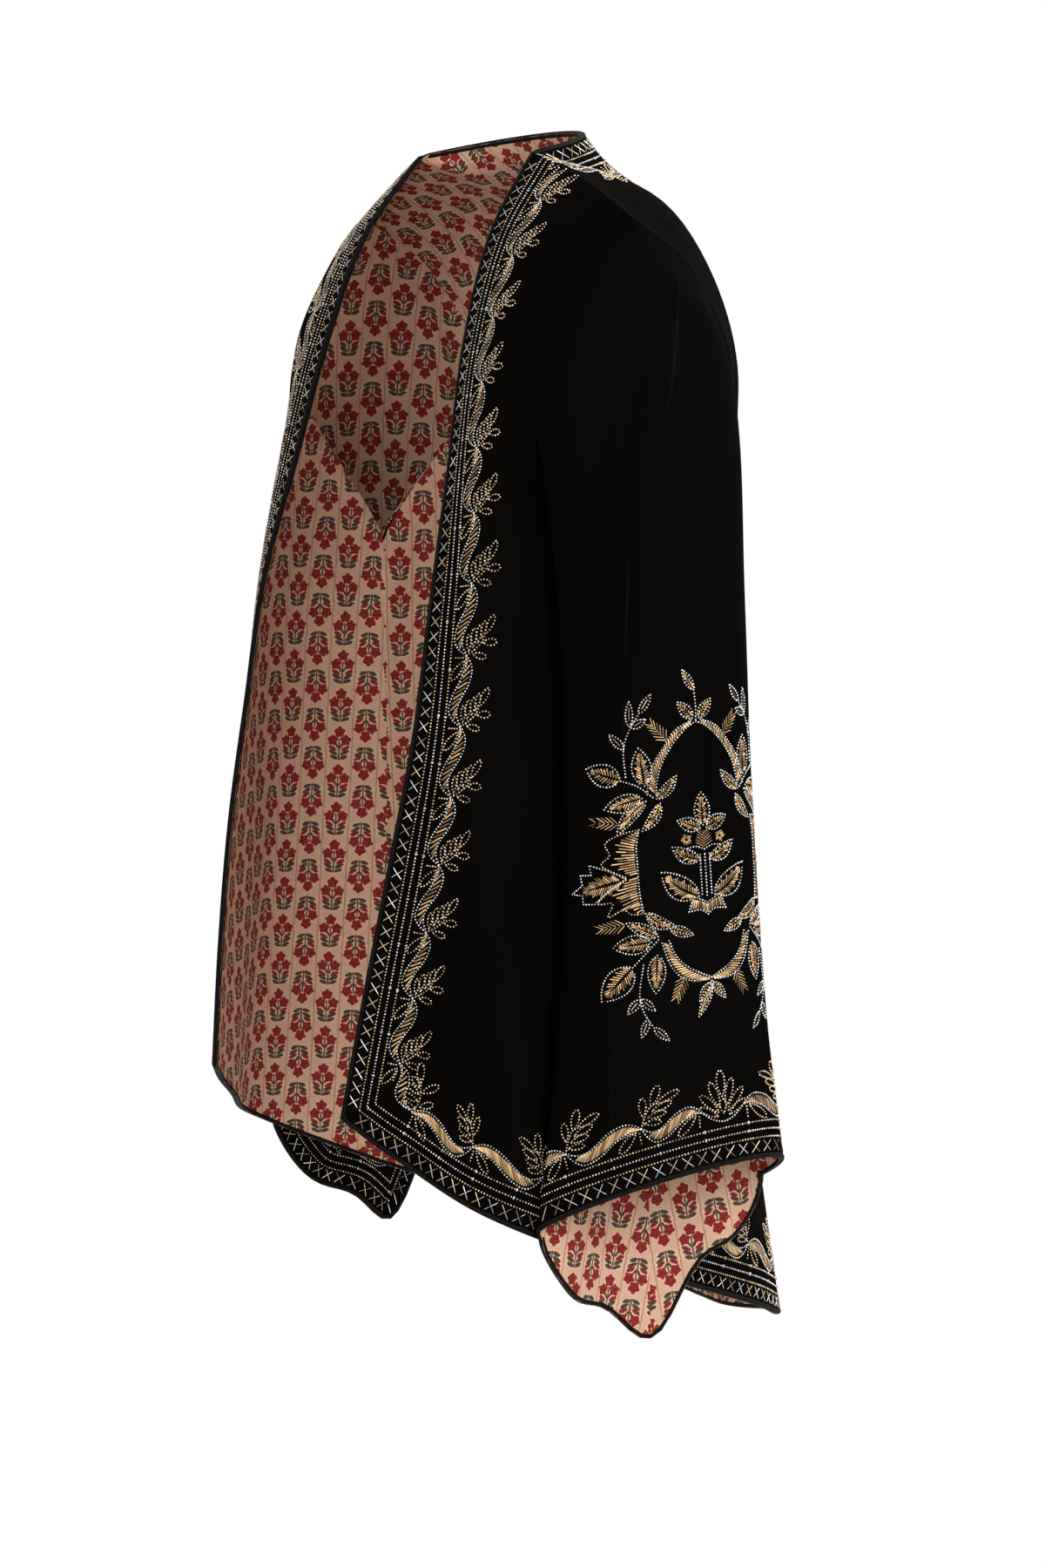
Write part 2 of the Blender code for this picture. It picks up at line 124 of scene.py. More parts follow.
# Folds down to the hem: across and width as shares of the piece's width, start as a share of its length
Fold = namedtuple("Fold", "across width depth start")
FRONT_FOLDS = (
    Fold(0.30, 0.13, -0.0050, 0.30),
    Fold(0.62, 0.15, 0.0035, 0.45),
)
BACK_FOLDS = (
    Fold(0.16, 0.12, -0.0050, 0.45),
    Fold(0.38, 0.10, 0.0050, 0.50),
    Fold(0.62, 0.11, -0.0045, 0.50),
)
SLEEVE_FOLDS = (
    Fold(0.055, 0.045, 0.0045, 0.55),
    Fold(0.905, 0.050, -0.0060, 0.50),
    Fold(0.150, 0.045, -0.0040, 0.60),
)

# Creases that fade out at both ends: centre, length and width as shares of the piece, slant across
Crease = namedtuple("Crease", "across down length width depth slant")
FRONT_CREASES = (
    Crease(0.72, 0.30, 0.22, 0.050, -0.0016, 0.10),
    Crease(0.88, 0.42, 0.18, 0.040, 0.0012, 0.05),
    Crease(0.50, 0.68, 0.24, 0.045, -0.0012, -0.06),
    Crease(0.80, 0.80, 0.16, 0.050, 0.0014, 0.04),
)
BACK_CREASES = (
    Crease(0.80, 0.24, 0.16, 0.040, -0.0018, 0.12),
    Crease(0.90, 0.40, 0.20, 0.035, 0.0014, 0.08),
    Crease(0.30, 0.55, 0.26, 0.040, 0.0012, -0.05),
    Crease(0.52, 0.74, 0.20, 0.035, -0.0015, 0.04),
    Crease(0.08, 0.82, 0.15, 0.030, 0.0016, 0.02),
)
SLEEVE_CREASES = (
    Crease(0.27, 0.28, 0.17, 0.018, -0.0020, 0.03),
    Crease(0.34, 0.50, 0.20, 0.016, 0.0012, -0.02),
    Crease(0.21, 0.62, 0.24, 0.015, -0.0018, 0.02),
    Crease(0.72, 0.34, 0.20, 0.020, -0.0022, -0.03),
    Crease(0.80, 0.60, 0.26, 0.018, 0.0016, 0.02),
    Crease(0.95, 0.30, 0.18, 0.020, -0.0020, 0.02),
    Crease(0.04, 0.40, 0.22, 0.018, 0.0018, -0.02),
    Crease(0.62, 0.86, 0.12, 0.016, -0.0012, 0.01),
)

# How far the sleeve's hem drops below its ring: turn 0 is the inner middle, 0.25 the front
Drop = namedtuple("Drop", "turn width depth")
SLEEVE_DROPS = (
    Drop(0.000, 0.050, 0.036),
    Drop(0.110, 0.070, 0.014),
    Drop(0.930, 0.035, -0.006),
)
# Share of the sleeve's length where the drops begin
DROP_START = 0.4


def unit(vectors):
    return vectors / np.linalg.norm(vectors, axis=-1, keepdims=True)


def shares(count):
    return np.arange(count + 1) / count


def travelled(line):
    """The distance along a line at each of its points."""
    return np.concatenate([[0.0], np.cumsum(np.linalg.norm(np.diff(line, axis=0), axis=1))])


def between(line, places, at):
    """Values of a line, known at the places of its own points, read at other places."""
    return np.stack([np.interp(at, places, values) for values in line.T], axis=1)


def right_of(way):
    """A flat step turned a quarter to the right."""
    return np.array((way[1], -way[0]))


def crossed(u, v):
    """The area spanned by pairs of flat steps."""
    return u[:, 0] * v[:, 1] - u[:, 1] * v[:, 0]


def cells(rows, columns):
    """The four corners of every cell of a grid, as indices of its points."""
    index = np.arange(rows * columns).reshape(rows, columns)
    return index[:-1, :-1], index[1:, :-1], index[1:, 1:], index[:-1, 1:]


def curve_through(points, places, at):
    """A smooth curve through points at the given places, read at an array of places."""
    points, places, at = np.asarray(points, float), np.asarray(places, float), np.asarray(at, float)
    last = len(points) - 1
    column = (-1,) + (1,) * (points.ndim - 1)
    before = np.maximum(np.arange(last + 1) - 1, 0)
    after = np.minimum(np.arange(last + 1) + 1, last)
    slopes = (points[after] - points[before]) / (places[after] - places[before]).reshape(column)
    index = np.clip(np.searchsorted(places, at, side="right") - 1, 0, last - 1)
    span = (places[index + 1] - places[index]).reshape(column)
    share = (at - places[index]).reshape(column) / span
    square, cube = share**2, share**3
    return (
        points[index] * (2 * cube - 3 * square + 1)
        + slopes[index] * span * (cube - 2 * square + share)
        + points[index + 1] * (3 * square - 2 * cube)
        + slopes[index + 1] * span * (cube - square)
    )


def shoulder_line(share):
    """Points of the shoulder seam, from the neck (0) to its outer end (1)."""
    share = np.asarray(share, float)[:, None]
    start = np.array((NECK_HALF_WIDTH, NECK_SIDE_Y, 0.0))
    arch = np.array((0.0, 0.0, SHOULDER_ARCH)) * np.sin(math.pi * share)
    return start + (np.array(SHOULDER_END) - start) * share + arch


def back_neck(share):
    """Points of the neckline, from the centre of the back (0) to the shoulder seam (1)."""
    angle = np.asarray(share, float) * math.pi / 2
    y = NECK_SIDE_Y + NECK_DEPTH * np.cos(angle)
    return np.stack([NECK_HALF_WIDTH * np.sin(angle), y, NECK_RISE * np.cos(angle)], axis=1)


def front_points(across, down):
    """The left front: across from the open edge to the side, down from the shoulder to the hem."""
    rows = [shoulder_line(across)]
    rows += [curve_through(section, FRONT_PLACES, across) for section in FRONT_SECTIONS]
    return curve_through(rows, shares(len(rows) - 1), down)


def back_points(across, down):
    """The back's left half: across from its centre to the side, down from the neck to the hem."""
    neck = BACK_PLACES[1]
    on_neck = across <= neck
    top = np.concatenate([
        back_neck(across[on_neck] / neck),
        shoulder_line((across[~on_neck] - neck) / (1 - neck)),
    ])
    rows = [top] + [curve_through(section, BACK_PLACES, across) for section in BACK_SECTIONS]
    return curve_through(rows, shares(len(rows) - 1), down)


def armhole_points(turns):
    """The armhole: 0 at the underarm, round by the front, 0.5 at the shoulder, back to 1."""
    underarm = UNDERARM_ROW / ROWS
    side = np.array((1.0,))
    front = front_points(side, underarm * (1 - turns[turns <= 0.5] / 0.5))[:, 0]
    back = back_points(side, underarm * (turns[turns > 0.5] - 0.5) / 0.5)[:, 0]
    return np.concatenate([front, back])


def ring_points(section, turns):
    """A sleeve ring, as quarter ellipses through its four named points."""
    anchors = np.array(section)
    centre = (anchors[1] + anchors[3]) / 2
    quarter = np.minimum((turns * 4).astype(int), 3)
    angle = ((turns * 4 - quarter) * math.pi / 2)[:, None]
    here, following = anchors[quarter] - centre, anchors[(quarter + 1) % 4] - centre
    return centre + here * np.cos(angle) + following * np.sin(angle)


def sleeve_points(turns, down):
    """The left sleeve: turns round it, down from the armhole (0) to the cuff's edge (1)."""
    rows = [armhole_points(turns)] + [ring_points(section, turns) for section in SLEEVE_SECTIONS]
    points = curve_through(rows, SLEEVE_PLACES, down)
    growth = (np.maximum(0.0, (down - DROP_START) / (1 - DROP_START)) ** 2)[:, None]
    for drop in SLEEVE_DROPS:
        apart = np.abs(turns - drop.turn)
        apart = np.minimum(apart, 1 - apart)
        points[..., 2] -= drop.depth * growth * np.exp(-((apart / drop.width) ** 2))
    return points


def grid_normals(grid, closed=False):
    """A unit normal at each grid point, from the steps across and down."""
    if closed:
        ring = grid[:, :-1]
        across = np.roll(ring, -1, axis=1) - np.roll(ring, 1, axis=1)
        across = np.concatenate([across, across[:, :1]], axis=1)
    else:
        across = np.gradient(grid, axis=1)
    return unit(np.cross(np.gradient(grid, axis=0), across))


def folded(grid, normals, folds, creases, down):
    """The grid with its folds and creases pushed in and out."""
    across = shares(grid.shape[1] - 1)[None, :]
    down = down[:, None]
    offset = np.zeros(grid.shape[:2])
    for fold in folds:
        growth = np.maximum(0.0, (down - fold.start) / (1 - fold.start))
        grown = growth**2 * (3 - 2 * growth)
        offset += fold.depth * grown * np.exp(-(((across - fold.across) / fold.width) ** 2))
    for crease in creases:
        along = (down - crease.down) / crease.length
        apart = (across - crease.across - crease.slant * along) / crease.width
        offset += crease.depth * np.exp(-(apart**2) - along**2 * 2)
    return grid + normals * offset[:, :, None]


def inward(line, normals, neighbours, closed=False):
    """Unit steps square to a line of edge points, within the cloth and towards its neighbours."""
    if closed:
        ahead = np.roll(line, -1, axis=0) - np.roll(line, 1, axis=0)
    else:
        ahead = np.gradient(line, axis=0)
    side = unit(np.cross(normals, ahead))
    return side * np.sign(np.sum(side * (neighbours - line), axis=1))[:, None]


def mirrored(grid):
    """The grid's mirror image for the other half of the garment, its columns reversed."""
    return grid[:, ::-1] * MIRROR


def both_halves(half):
    """A whole row of columns from its left half, whose first column lies on the middle plane."""
    return np.concatenate([mirrored(half), half[:, 1:]], axis=1)


class Body:
    """Fronts and back as grids that share the points and normals of their seams."""

    def __init__(self):
        down, across = shares(ROWS), shares(SHOULDER_COLUMNS)
        wide = shares(NECK_COLUMNS + SHOULDER_COLUMNS)
        front, back = front_points(across, down), back_points(wide, down)
        self.front = folded(front, grid_normals(front), FRONT_FOLDS, FRONT_CREASES, down)
        self.back = folded(back, -grid_normals(back), BACK_FOLDS, BACK_CREASES, down)
        self.back[:, 0, 0] = 0.0
        side = (self.front[UNDERARM_ROW:, -1] + self.back[UNDERARM_ROW:, -1]) / 2
        shoulder = (self.front[0] + self.back[0, NECK_COLUMNS:]) / 2
        self.join(side, shoulder)
        self.front_normals = grid_normals(self.front)
        whole = both_halves(self.back)
        self.back_normals = -grid_normals(whole)[:, self.back.shape[1] - 1:]
        self.share_seams()

    def join(self, side, shoulder):
        """Puts the edges of both pieces at a seam on the same points."""
        self.front[UNDERARM_ROW:, -1] = side
        self.back[UNDERARM_ROW:, -1] = side
        self.front[0] = shoulder
        self.back[0, NECK_COLUMNS:] = shoulder

    def share_seams(self):
        """Gives both pieces at a seam the same normal, and sinks the seam a little."""
        front, back = self.front_normals, self.back_normals
        shoulder = unit(front[0] + back[0, NECK_COLUMNS:])
        side = unit(front[UNDERARM_ROW:, -1] + back[UNDERARM_ROW:, -1])
        front[0] = shoulder
        back[0, NECK_COLUMNS:] = shoulder
        front[UNDERARM_ROW:, -1] = side
        back[UNDERARM_ROW:, -1] = side
        self.join(
            self.front[UNDERARM_ROW:, -1] - side * SEAM_DIP,
            self.front[0] - shoulder * SEAM_DIP,
        )

    def edge_line(self):
        """The free edge as one closed line from the left hem, with normals and steps inward."""
        front, back = self.front, both_halves(self.back)
        front_in = np.zeros_like(front)
        front_in[-1] = inward(front[-1], self.front_normals[-1], front[-2])
        opening = inward(front[:, 0], self.front_normals[:, 0], front[:, 1])
        opening[0] = unit(front[0, 1] - front[0, 0])
        front_in[:, 0] += opening
        back_normals = both_halves(self.back_normals)
        back_in = np.zeros_like(back)
        back_in[0] = inward(back[0], back_normals[0], back[1])
        back_in[-1] = inward(back[-1], back_normals[-1], back[-2])
        return [
            closed_line(front, back),
            closed_line(self.front_normals, back_normals),
            closed_line(front_in, back_in),
        ]


def closed_line(front, back):
    """Edge values from the left hem up, round the neck, down the right front and along the hem."""
    other = mirrored(front)
    middle = back.shape[1] // 2
    neck = back[0, middle - NECK_COLUMNS + 1:middle + NECK_COLUMNS]
    right_hem, left_hem = other[-1, -2:0:-1], front[-1, -2:0:-1]
    return np.concatenate((front[::-1, 0], neck[::-1], other[:, -1], right_hem, back[-1], left_hem))


class Sleeve:
    """The left sleeve as rings from the armhole to the cuff, the last column equal to the first."""

    def __init__(self, body):
        down, turns = shares(SLEEVE_RINGS), shares(SLEEVE_COLUMNS)
        grid = sleeve_points(turns, down)
        self.grid = folded(grid, grid_normals(grid, closed=True), SLEEVE_FOLDS, SLEEVE_CREASES, down)
        self.join_armhole(body)
        self.grid[:, -1] = self.grid[:, 0]
        self.normals = grid_normals(self.grid, closed=True)

    def join_armhole(self, body):
        """Starts the sleeve just outside the body's edge, with room for the body's wall."""
        up_front = slice(UNDERARM_ROW, None, -1)
        points = np.concatenate([body.front[up_front, -1], body.back[1:UNDERARM_ROW + 1, -1]])
        facing = [body.front_normals[up_front, -1], body.back_normals[1:UNDERARM_ROW + 1, -1]]
        away = unit(self.grid[1] - points)
        across = np.abs(np.sum(away * np.concatenate(facing), axis=1))[:, None]
        self.grid[0] = points + away * (SEAM_GAP + VELVET_THICK * across)

    def edge_line(self):
        ring, normals = self.grid[-1, :-1], self.normals[-1, :-1]
        return ring, normals, inward(ring, normals, self.grid[-2, :-1], closed=True)


def settings():
    return bpy.context.scene.jacket


def linked(name, data):
    """A new object in the scene."""
    thing = bpy.data.objects.new(name, data)
    bpy.context.scene.collection.objects.link(thing)
    return thing


def new_object(name, mesh, materials):
    """Links a finished mesh, gives it its materials and rides it on the garment."""
    for material in materials:
        mesh.materials.append(material)
    thing = linked(name, mesh)
    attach(thing, "root")
    return thing


def finished_mesh(name, work):
    """A mesh from bmesh work, with all its faces turned outward."""
    bmesh.ops.recalc_face_normals(work, faces=work.faces)
    mesh = bpy.data.meshes.new(name)
    work.to_mesh(mesh)
    work.free()
    return mesh


def laid_flat(grid):
    """The grid's pattern on the table, in metres: x across the columns, y up the rows."""
    rows, columns = grid.shape[:2]
    quads = np.stack(cells(rows, columns), -1).reshape(-1, 4)
    mesh = bpy.data.meshes.new("paper")
    mesh.from_pydata(grid.reshape(-1, 3).tolist(), [], quads.tolist())
    paper = linked("paper", mesh)
    bpy.ops.object.select_all(action="DESELECT")
    bpy.context.view_layer.objects.active = paper
    paper.select_set(True)
    mesh.uv_layers.new(name="flat")
    bpy.ops.object.mode_set(mode="EDIT")
    bpy.ops.mesh.select_all(action="SELECT")
    bpy.ops.uv.unwrap(method="ANGLE_BASED", margin=0.0)
    bpy.ops.object.mode_set(mode="OBJECT")
    found = np.zeros(len(mesh.loops) * 2)
    mesh.uv_layers["flat"].data.foreach_get("uv", found)
    corner = np.zeros(len(mesh.loops), int)
    mesh.loops.foreach_get("vertex_index", corner)
    flat = np.zeros((rows * columns, 2))
    flat[corner] = found.reshape(-1, 2)
    bpy.data.objects.remove(paper, do_unlink=True)
    bpy.data.meshes.remove(mesh)
    return scaled_and_turned(flat.reshape(rows, columns, 2), grid)


def scaled_and_turned(flat, grid):
    """The flat pattern at real size, with its columns running right and its rows running down."""
    real = np.linalg.norm(np.diff(grid, axis=0), axis=-1).sum()
    drawn = np.linalg.norm(np.diff(flat, axis=0), axis=-1).sum()
    flat = (flat - flat.mean(axis=(0, 1))) * real / drawn
    rows, columns = grid.shape[:2]
    width = np.linalg.norm(np.diff(grid, axis=1), axis=-1).sum() / rows
    length = real / columns
    wanted = np.stack(np.meshgrid(width * shares(columns - 1), -length * shares(rows - 1)), -1)
    wanted -= wanted.mean(axis=(0, 1))
    left, _, right = np.linalg.svd(flat.reshape(-1, 2).T @ wanted.reshape(-1, 2))
    return flat @ (left @ right)


class Panel:
    """A cut piece: its grid on the garment, its normals and the same grid laid flat."""

    def __init__(self, grid, normals):
        self.points = grid.reshape(-1, 3)
        self.normals = normals.reshape(-1, 3)
        self.flat_grid = laid_flat(grid)
        self.flat = self.flat_grid.reshape(-1, 2)
        a, b, c, d = cells(*grid.shape[:2])
        halves = [np.stack(half, -1).reshape(-1, 3) for half in ((a, b, c), (a, c, d))]
        self.faces = np.concatenate(halves)
        on_table = [(x, y, 0.0) for x, y in self.flat.tolist()]
        self.tree = BVHTree.FromPolygons(on_table, self.faces.tolist())

    def lift(self, places):
        """Flat places as points on the cloth, their normals, and which of them lie on the piece."""
        down = Vector((0, 0, -1))
        hits = [self.tree.ray_cast(Vector((x, y, 1)), down)[2] for x, y in places.tolist()]
        on_piece = np.array([hit is not None for hit in hits], bool)
        corners = self.faces[[hit or 0 for hit in hits]]
        first, second, third = (self.flat[corners[:, i]] for i in range(3))
        u, v, w = second - first, third - first, places - first
        area = crossed(u, v)
        b, c = crossed(w, v) / area, crossed(u, w) / area
        weights = np.stack([1 - b - c, b, c], 1)[:, :, None]
        points = (self.points[corners] * weights).sum(axis=1)
        return points, unit((self.normals[corners] * weights).sum(axis=1)), on_piece

    def area(self):
        first, second, third = (self.flat[self.faces[:, i]] for i in range(3))
        return np.abs(crossed(second - first, third - first)).sum() / 2

    def size(self):
        return np.ptp(self.flat, axis=0)


class Garment:
    """All grids and flat pieces, worked out once and shared by the operators."""

    made = None

    def __init__(self):
        self.body = Body()
        self.sleeve = Sleeve(self.body)
        self.front = Panel(self.body.front, self.body.front_normals)
        self.back = Panel(both_halves(self.body.back), both_halves(self.body.back_normals))
        self.arm = Panel(self.sleeve.grid, self.sleeve.normals)

    @classmethod
    def get(cls):
        if cls.made is None:
            cls.made = cls()
        return cls.made


def shell(name, grid, normals, outside, inside, flat, closed, materials):
    """A closed wall of cloth between two offsets of a grid, with the flat pattern as its UV map."""
    rows, columns = grid.shape[:2]
    wide = columns - 1 if closed else columns
    mesh = bmesh.new()
    pattern = mesh.loops.layers.uv.new("flat")
    layers = []
    for offset in (outside, inside):
        points = (grid + normals * offset).tolist()
        layers.append([[mesh.verts.new(points[r][c]) for c in range(wide)] for r in range(rows)])

    def face(*corners):
        made = mesh.faces.new([layers[side][r][c % wide] for side, r, c in corners])
        for loop, (_, r, c) in zip(made.loops, corners):
            loop[pattern].uv = flat[r, c]
        made.smooth = True

    for r in range(rows - 1):
        for c in range(columns - 1):
            face((0, r, c), (0, r + 1, c), (0, r + 1, c + 1), (0, r, c + 1))
            face((1, r, c), (1, r, c + 1), (1, r + 1, c + 1), (1, r + 1, c))
    for c in range(columns - 1):
        face((0, 0, c), (0, 0, c + 1), (1, 0, c + 1), (1, 0, c))
        face((0, rows - 1, c), (1, rows - 1, c), (1, rows - 1, c + 1), (0, rows - 1, c + 1))
    if not closed:
        for r in range(rows - 1):
            for c in (0, columns - 1):
                face((0, r, c), (1, r, c), (1, r + 1, c), (0, r + 1, c))
    data = finished_mesh(name, mesh)
    data.set_sharp_from_angle(angle=SHARP_ANGLE)
    return new_object(name, data, materials)


def dress(layer, outside, inside, material):
    """One layer of cloth for every cut piece: velvet or lining."""
    garment = Garment.get()
    body, sleeve = garment.body, garment.sleeve
    pieces = (
        ("front", body.front, body.front_normals, garment.front, ("_left", "_right")),
        ("back", both_halves(body.back), both_halves(body.back_normals), garment.back, ("",)),
        ("sleeve", sleeve.grid, sleeve.normals, garment.arm, ("_left", "_right")),
    )
    prefix = "lining_" if layer == "lining" else ""
    for stem, grid, normals, panel, sides in pieces:
        flat, closed = panel.flat_grid, stem == "sleeve"
        width, length = panel.size()
        for side in sides:
            if side == "_right":
                grid, normals, flat = mirrored(grid), mirrored(normals), flat[:, ::-1] * MIRROR[:2]
            name = f"{layer}_cloth_{stem}{side}"
            made = shell(name, grid, normals, outside, inside, flat, closed, [material])
            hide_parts(prefix + stem + side)
            float(panel.area())


# Needlework: outlines are charted in millimetres and rounded

# Points on a smooth curve from one charted point to the next, and the step of a dense line
SMOOTH_STEPS = 10
DENSE = 1.0

# Both sides of a leaf: their points, and the powers that place its widest part and shape its tip
LEAF_POINTS = 13
Outline = namedtuple("Outline", "place tip")
POINTED = Outline(0.85, 0.8)
ROUNDED = Outline(1.25, 0.55)


def smooth(points):
    """A smooth curve through charted points."""
    points = np.asarray(points, float)
    if len(points) < 3:
        return points
    places = travelled(points)
    count = SMOOTH_STEPS * (len(points) - 1) + 1
    return curve_through(points, places, np.linspace(0.0, places[-1], count))


def spaced(line, pitch):
    """Points at an even pitch along a line, from its first point to its last."""
    places = travelled(line)
    count = max(1, round(places[-1] / pitch))
    return between(line, places, np.linspace(0.0, places[-1], count + 1))


def read(line, share):
    """Points of a line at shares of its length."""
    places = travelled(line)
    return between(line, places, share * places[-1])


def leaf_sides(base, tip, width, bend=0.0, outline=POINTED):
    """Both sides of a leaf and its middle, from base to tip."""
    base, tip = np.array(base, float), np.array(tip, float)
    along = tip - base
    side = -right_of(along) / np.linalg.norm(along)
    share = np.linspace(0, 1, LEAF_POINTS)[:, None]
    middle = base + along * share + side * bend * np.sin(math.pi * share)
    half = width / 2 * np.sin(math.pi * share**outline.place) ** outline.tip
    return middle + side * half, middle - side * half, middle


# Strands: a stitch's width and height, in millimetres
Strand = namedtuple("Strand", "width height")
FINE = Strand(0.40, 0.28)
CROSS_ARM = Strand(0.50, 0.42)
STALK = Strand(0.50, 0.28)
BUD_VEIN = Strand(0.55, 0.28)
LEAF_FILL = Strand(0.68, 0.36)
FAN_FILL = Strand(0.78, 0.40)
RIBBON_FILL = Strand(0.86, 0.40)
BAR = Strand(0.90, 0.80)

# Ribbons: pitch, shift from side to side, covered share, and each end with its share of the shift
SATIN_PITCH = 1.85
SATIN_SLANT = 0.13
SATIN_COVER = 0.74
SATIN_ENDS = ((0.04, 0.6), (0.96, 0.4))

# Leaves: pitch, share of the way out to the side, its unevenness, and where stitches start and aim
LEAF_PITCH = 1.75
LEAF_REACH = 0.66
LEAF_UNEVEN = 0.14
LEAF_UNEVEN_TURNS = 40
LEAF_STITCHED = (0.04, 0.76)
LEAF_AHEAD = 0.19
LEAF_FREE = 0.08
BUD_STITCHED = ((0.20,), (0.78,))

# Feathers: pairs, the stalk's stitched share, and each pair's aim, spread and narrowing
FEATHER_PAIRS = 6
FEATHER_STITCHED = 0.78
FEATHER_AHEAD = 0.34
FEATHER_SPREAD = 8.5
FEATHER_NARROWING = 0.55


class Needlework:
    """Beads and stitches gathered on one flat piece and then lifted onto its cloth."""

    def __init__(self, panel, place, keep=None):
        self.panel, self.place, self.keep = panel, place, keep
        self.beads = {"silver": [], "gold": []}
        self.strokes = {"silver": [], "gold": [], "thread": []}

    def moved(self, place, keep=None):
        """The same work, charted from another place."""
        other = Needlework(self.panel, place, keep)
        other.beads, other.strokes = self.beads, self.strokes
        return other

    def on_table(self, line):
        return self.place(np.asarray(line, float) * MM)

    def kept(self, flat):
        return self.keep(flat) if self.keep else np.ones(len(flat), bool)

    def line(self, points, metal="silver", curved=True, pitch=None):
        """A row of beads along a charted line."""
        charted = smooth(points) if curved else np.asarray(points, float)
        dense = spaced(charted, DENSE)
        flat = spaced(self.on_table(dense), pitch or settings().beads.pitch)
        self.beads[metal].append(flat[self.kept(flat)])

    def stitch(self, starts, ends, strand=FINE, kind="thread"):
        starts, ends = self.on_table(starts), self.on_table(ends)
        good = self.kept((starts + ends) / 2)
        sizes = [np.full(good.sum(), size) for size in strand]
        self.strokes[kind].append((starts[good], ends[good], *sizes))

    def satin(self, side_a, side_b, slant=SATIN_SLANT, pitch=SATIN_PITCH):
        """Slanted stitches that fill the space between two charted lines."""
        side_a, side_b = smooth(side_a), smooth(side_b)
        length = np.linalg.norm(np.diff(side_a, axis=0), axis=1).sum()
        first, last = [end - slant * part for end, part in SATIN_ENDS]
        share = np.linspace(first, last, max(2, int(length / pitch)))
        a, b = read(side_a, share), read(side_b, share + slant)
        middle = (a + b) / 2
        starts, ends = [middle + (side - middle) * SATIN_COVER for side in (a, b)]
        self.stitch(starts, ends, RIBBON_FILL)

    def herringbone(self, base, tip, width, bend=0.0, pitch=LEAF_PITCH, reach=LEAF_REACH):
        """Stitches from a leaf's middle towards its tip and sides."""
        *sides, middle = leaf_sides(base, tip, width, bend)
        length = np.linalg.norm(np.array(tip, float) - base)
        share = np.linspace(*LEAF_STITCHED, max(3, int(length / pitch)))
        inner = read(middle, share)
        far = (reach + LEAF_UNEVEN * np.sin(share * LEAF_UNEVEN_TURNS))[:, None]
        for side in sides:
            step = read(side, share + LEAF_AHEAD) - inner
            self.stitch(inner + step * LEAF_FREE, inner + step * far, LEAF_FILL)

    def leaf(self, base, tip, width, bend=0.0, filled=True):
        """A pointed leaf of silver beads with gold stitches inside."""
        left, right, _ = leaf_sides(base, tip, width, bend)
        self.line(left, curved=False)
        self.line(right[1:-1], curved=False)
        if filled:
            self.herringbone(base, tip, width, bend)

    def loop(self, base, tip, width, metal="gold"):
        """An open loop of beads with a rounded tip."""
        left, right, _ = leaf_sides(base, tip, width, outline=ROUNDED)
        around = np.concatenate([left, right[-2:0:-1]])
        self.line(around, metal, curved=False, pitch=settings().beads.loop_pitch)

    def bud(self, base, tip, width):
        """A pointed loop of beads with one long stitch inside."""
        self.leaf(base, tip, width, filled=False)
        base, step = np.array(base, float), np.subtract(tip, base, dtype=float)
        starts, ends = [base + step * np.array(share)[:, None] for share in BUD_STITCHED]
        self.stitch(starts, ends, BUD_VEIN)

    def feather(self, base, tip, spread=FEATHER_SPREAD):
        """Gold stitches in pairs along a short stalk, each pair pointing to the tip."""
        base, tip = np.array(base, float), np.array(tip, float)
        along = tip - base
        side = -right_of(along) / np.linalg.norm(along)
        share = np.linspace(0.0, FEATHER_STITCHED, FEATHER_PAIRS)[:, None]
        starts = base + along * share
        for way in (-1, 1):
            out = side * way * spread / 2 * (1 - FEATHER_NARROWING * share)
            self.stitch(starts, starts + along * FEATHER_AHEAD + out, STALK)
        self.stitch(base[None], tip[None], STALK)

    def cross(self, centre, size, metal):
        """Two crossing stitches."""
        s, t = centre
        reach_s, reach_t = size[0] / 2, size[1] / 2
        starts = np.array(((s - reach_s, t - reach_t), (s - reach_s, t + reach_t)))
        ends = np.array(((s + reach_s, t + reach_t), (s + reach_s, t - reach_t)))
        self.stitch(starts, ends, CROSS_ARM, metal)


# A bead is a low dome with a six-sided foot, and a stitch a ridge that narrows to both ends
BEAD_SIDES = 6
BEAD_RINGS = ((1.0, -0.15), (0.82, 0.50))
BEAD_TOP = 0.88
BEAD_SIZES = (0.9, 1.08)
BEAD_EAST = (0.31, 0.17, 0.93)
STITCH_SHOULDERS = (0.16, 0.84)
STITCH_FACES = ((0, 2, 1), (0, 3, 2), (7, 4, 5), (7, 5, 6), (1, 2, 5), (1, 5, 4), (2, 3, 6), (2, 6, 5))


def bead_mesh(points, normals, radius, rng):
    """Vertices, triangles and a tone for each vertex of many beads."""
    angles = np.arange(BEAD_SIDES) * 2 * math.pi / BEAD_SIDES
    rings = [(wide * np.cos(a), wide * np.sin(a), high) for wide, high in BEAD_RINGS for a in angles]
    local = np.array(rings + [(0.0, 0.0, BEAD_TOP)]) * radius
    faces = []
    for i in range(BEAD_SIDES):
        j = (i + 1) % BEAD_SIDES
        up_i, up_j = i + BEAD_SIDES, j + BEAD_SIDES
        faces += [(i, j, up_j), (i, up_j, up_i), (up_i, up_j, 2 * BEAD_SIDES)]
    east = unit(np.cross(normals, np.array(BEAD_EAST)))
    frames = np.stack([east, np.cross(normals, east), normals], axis=1)
    sizes = rng.uniform(*BEAD_SIZES, len(points))[:, None, None]
    verts = points[:, None, :] + np.einsum("vk,nkx->nvx", local, frames) * sizes
    return repeated(verts, faces, rng)


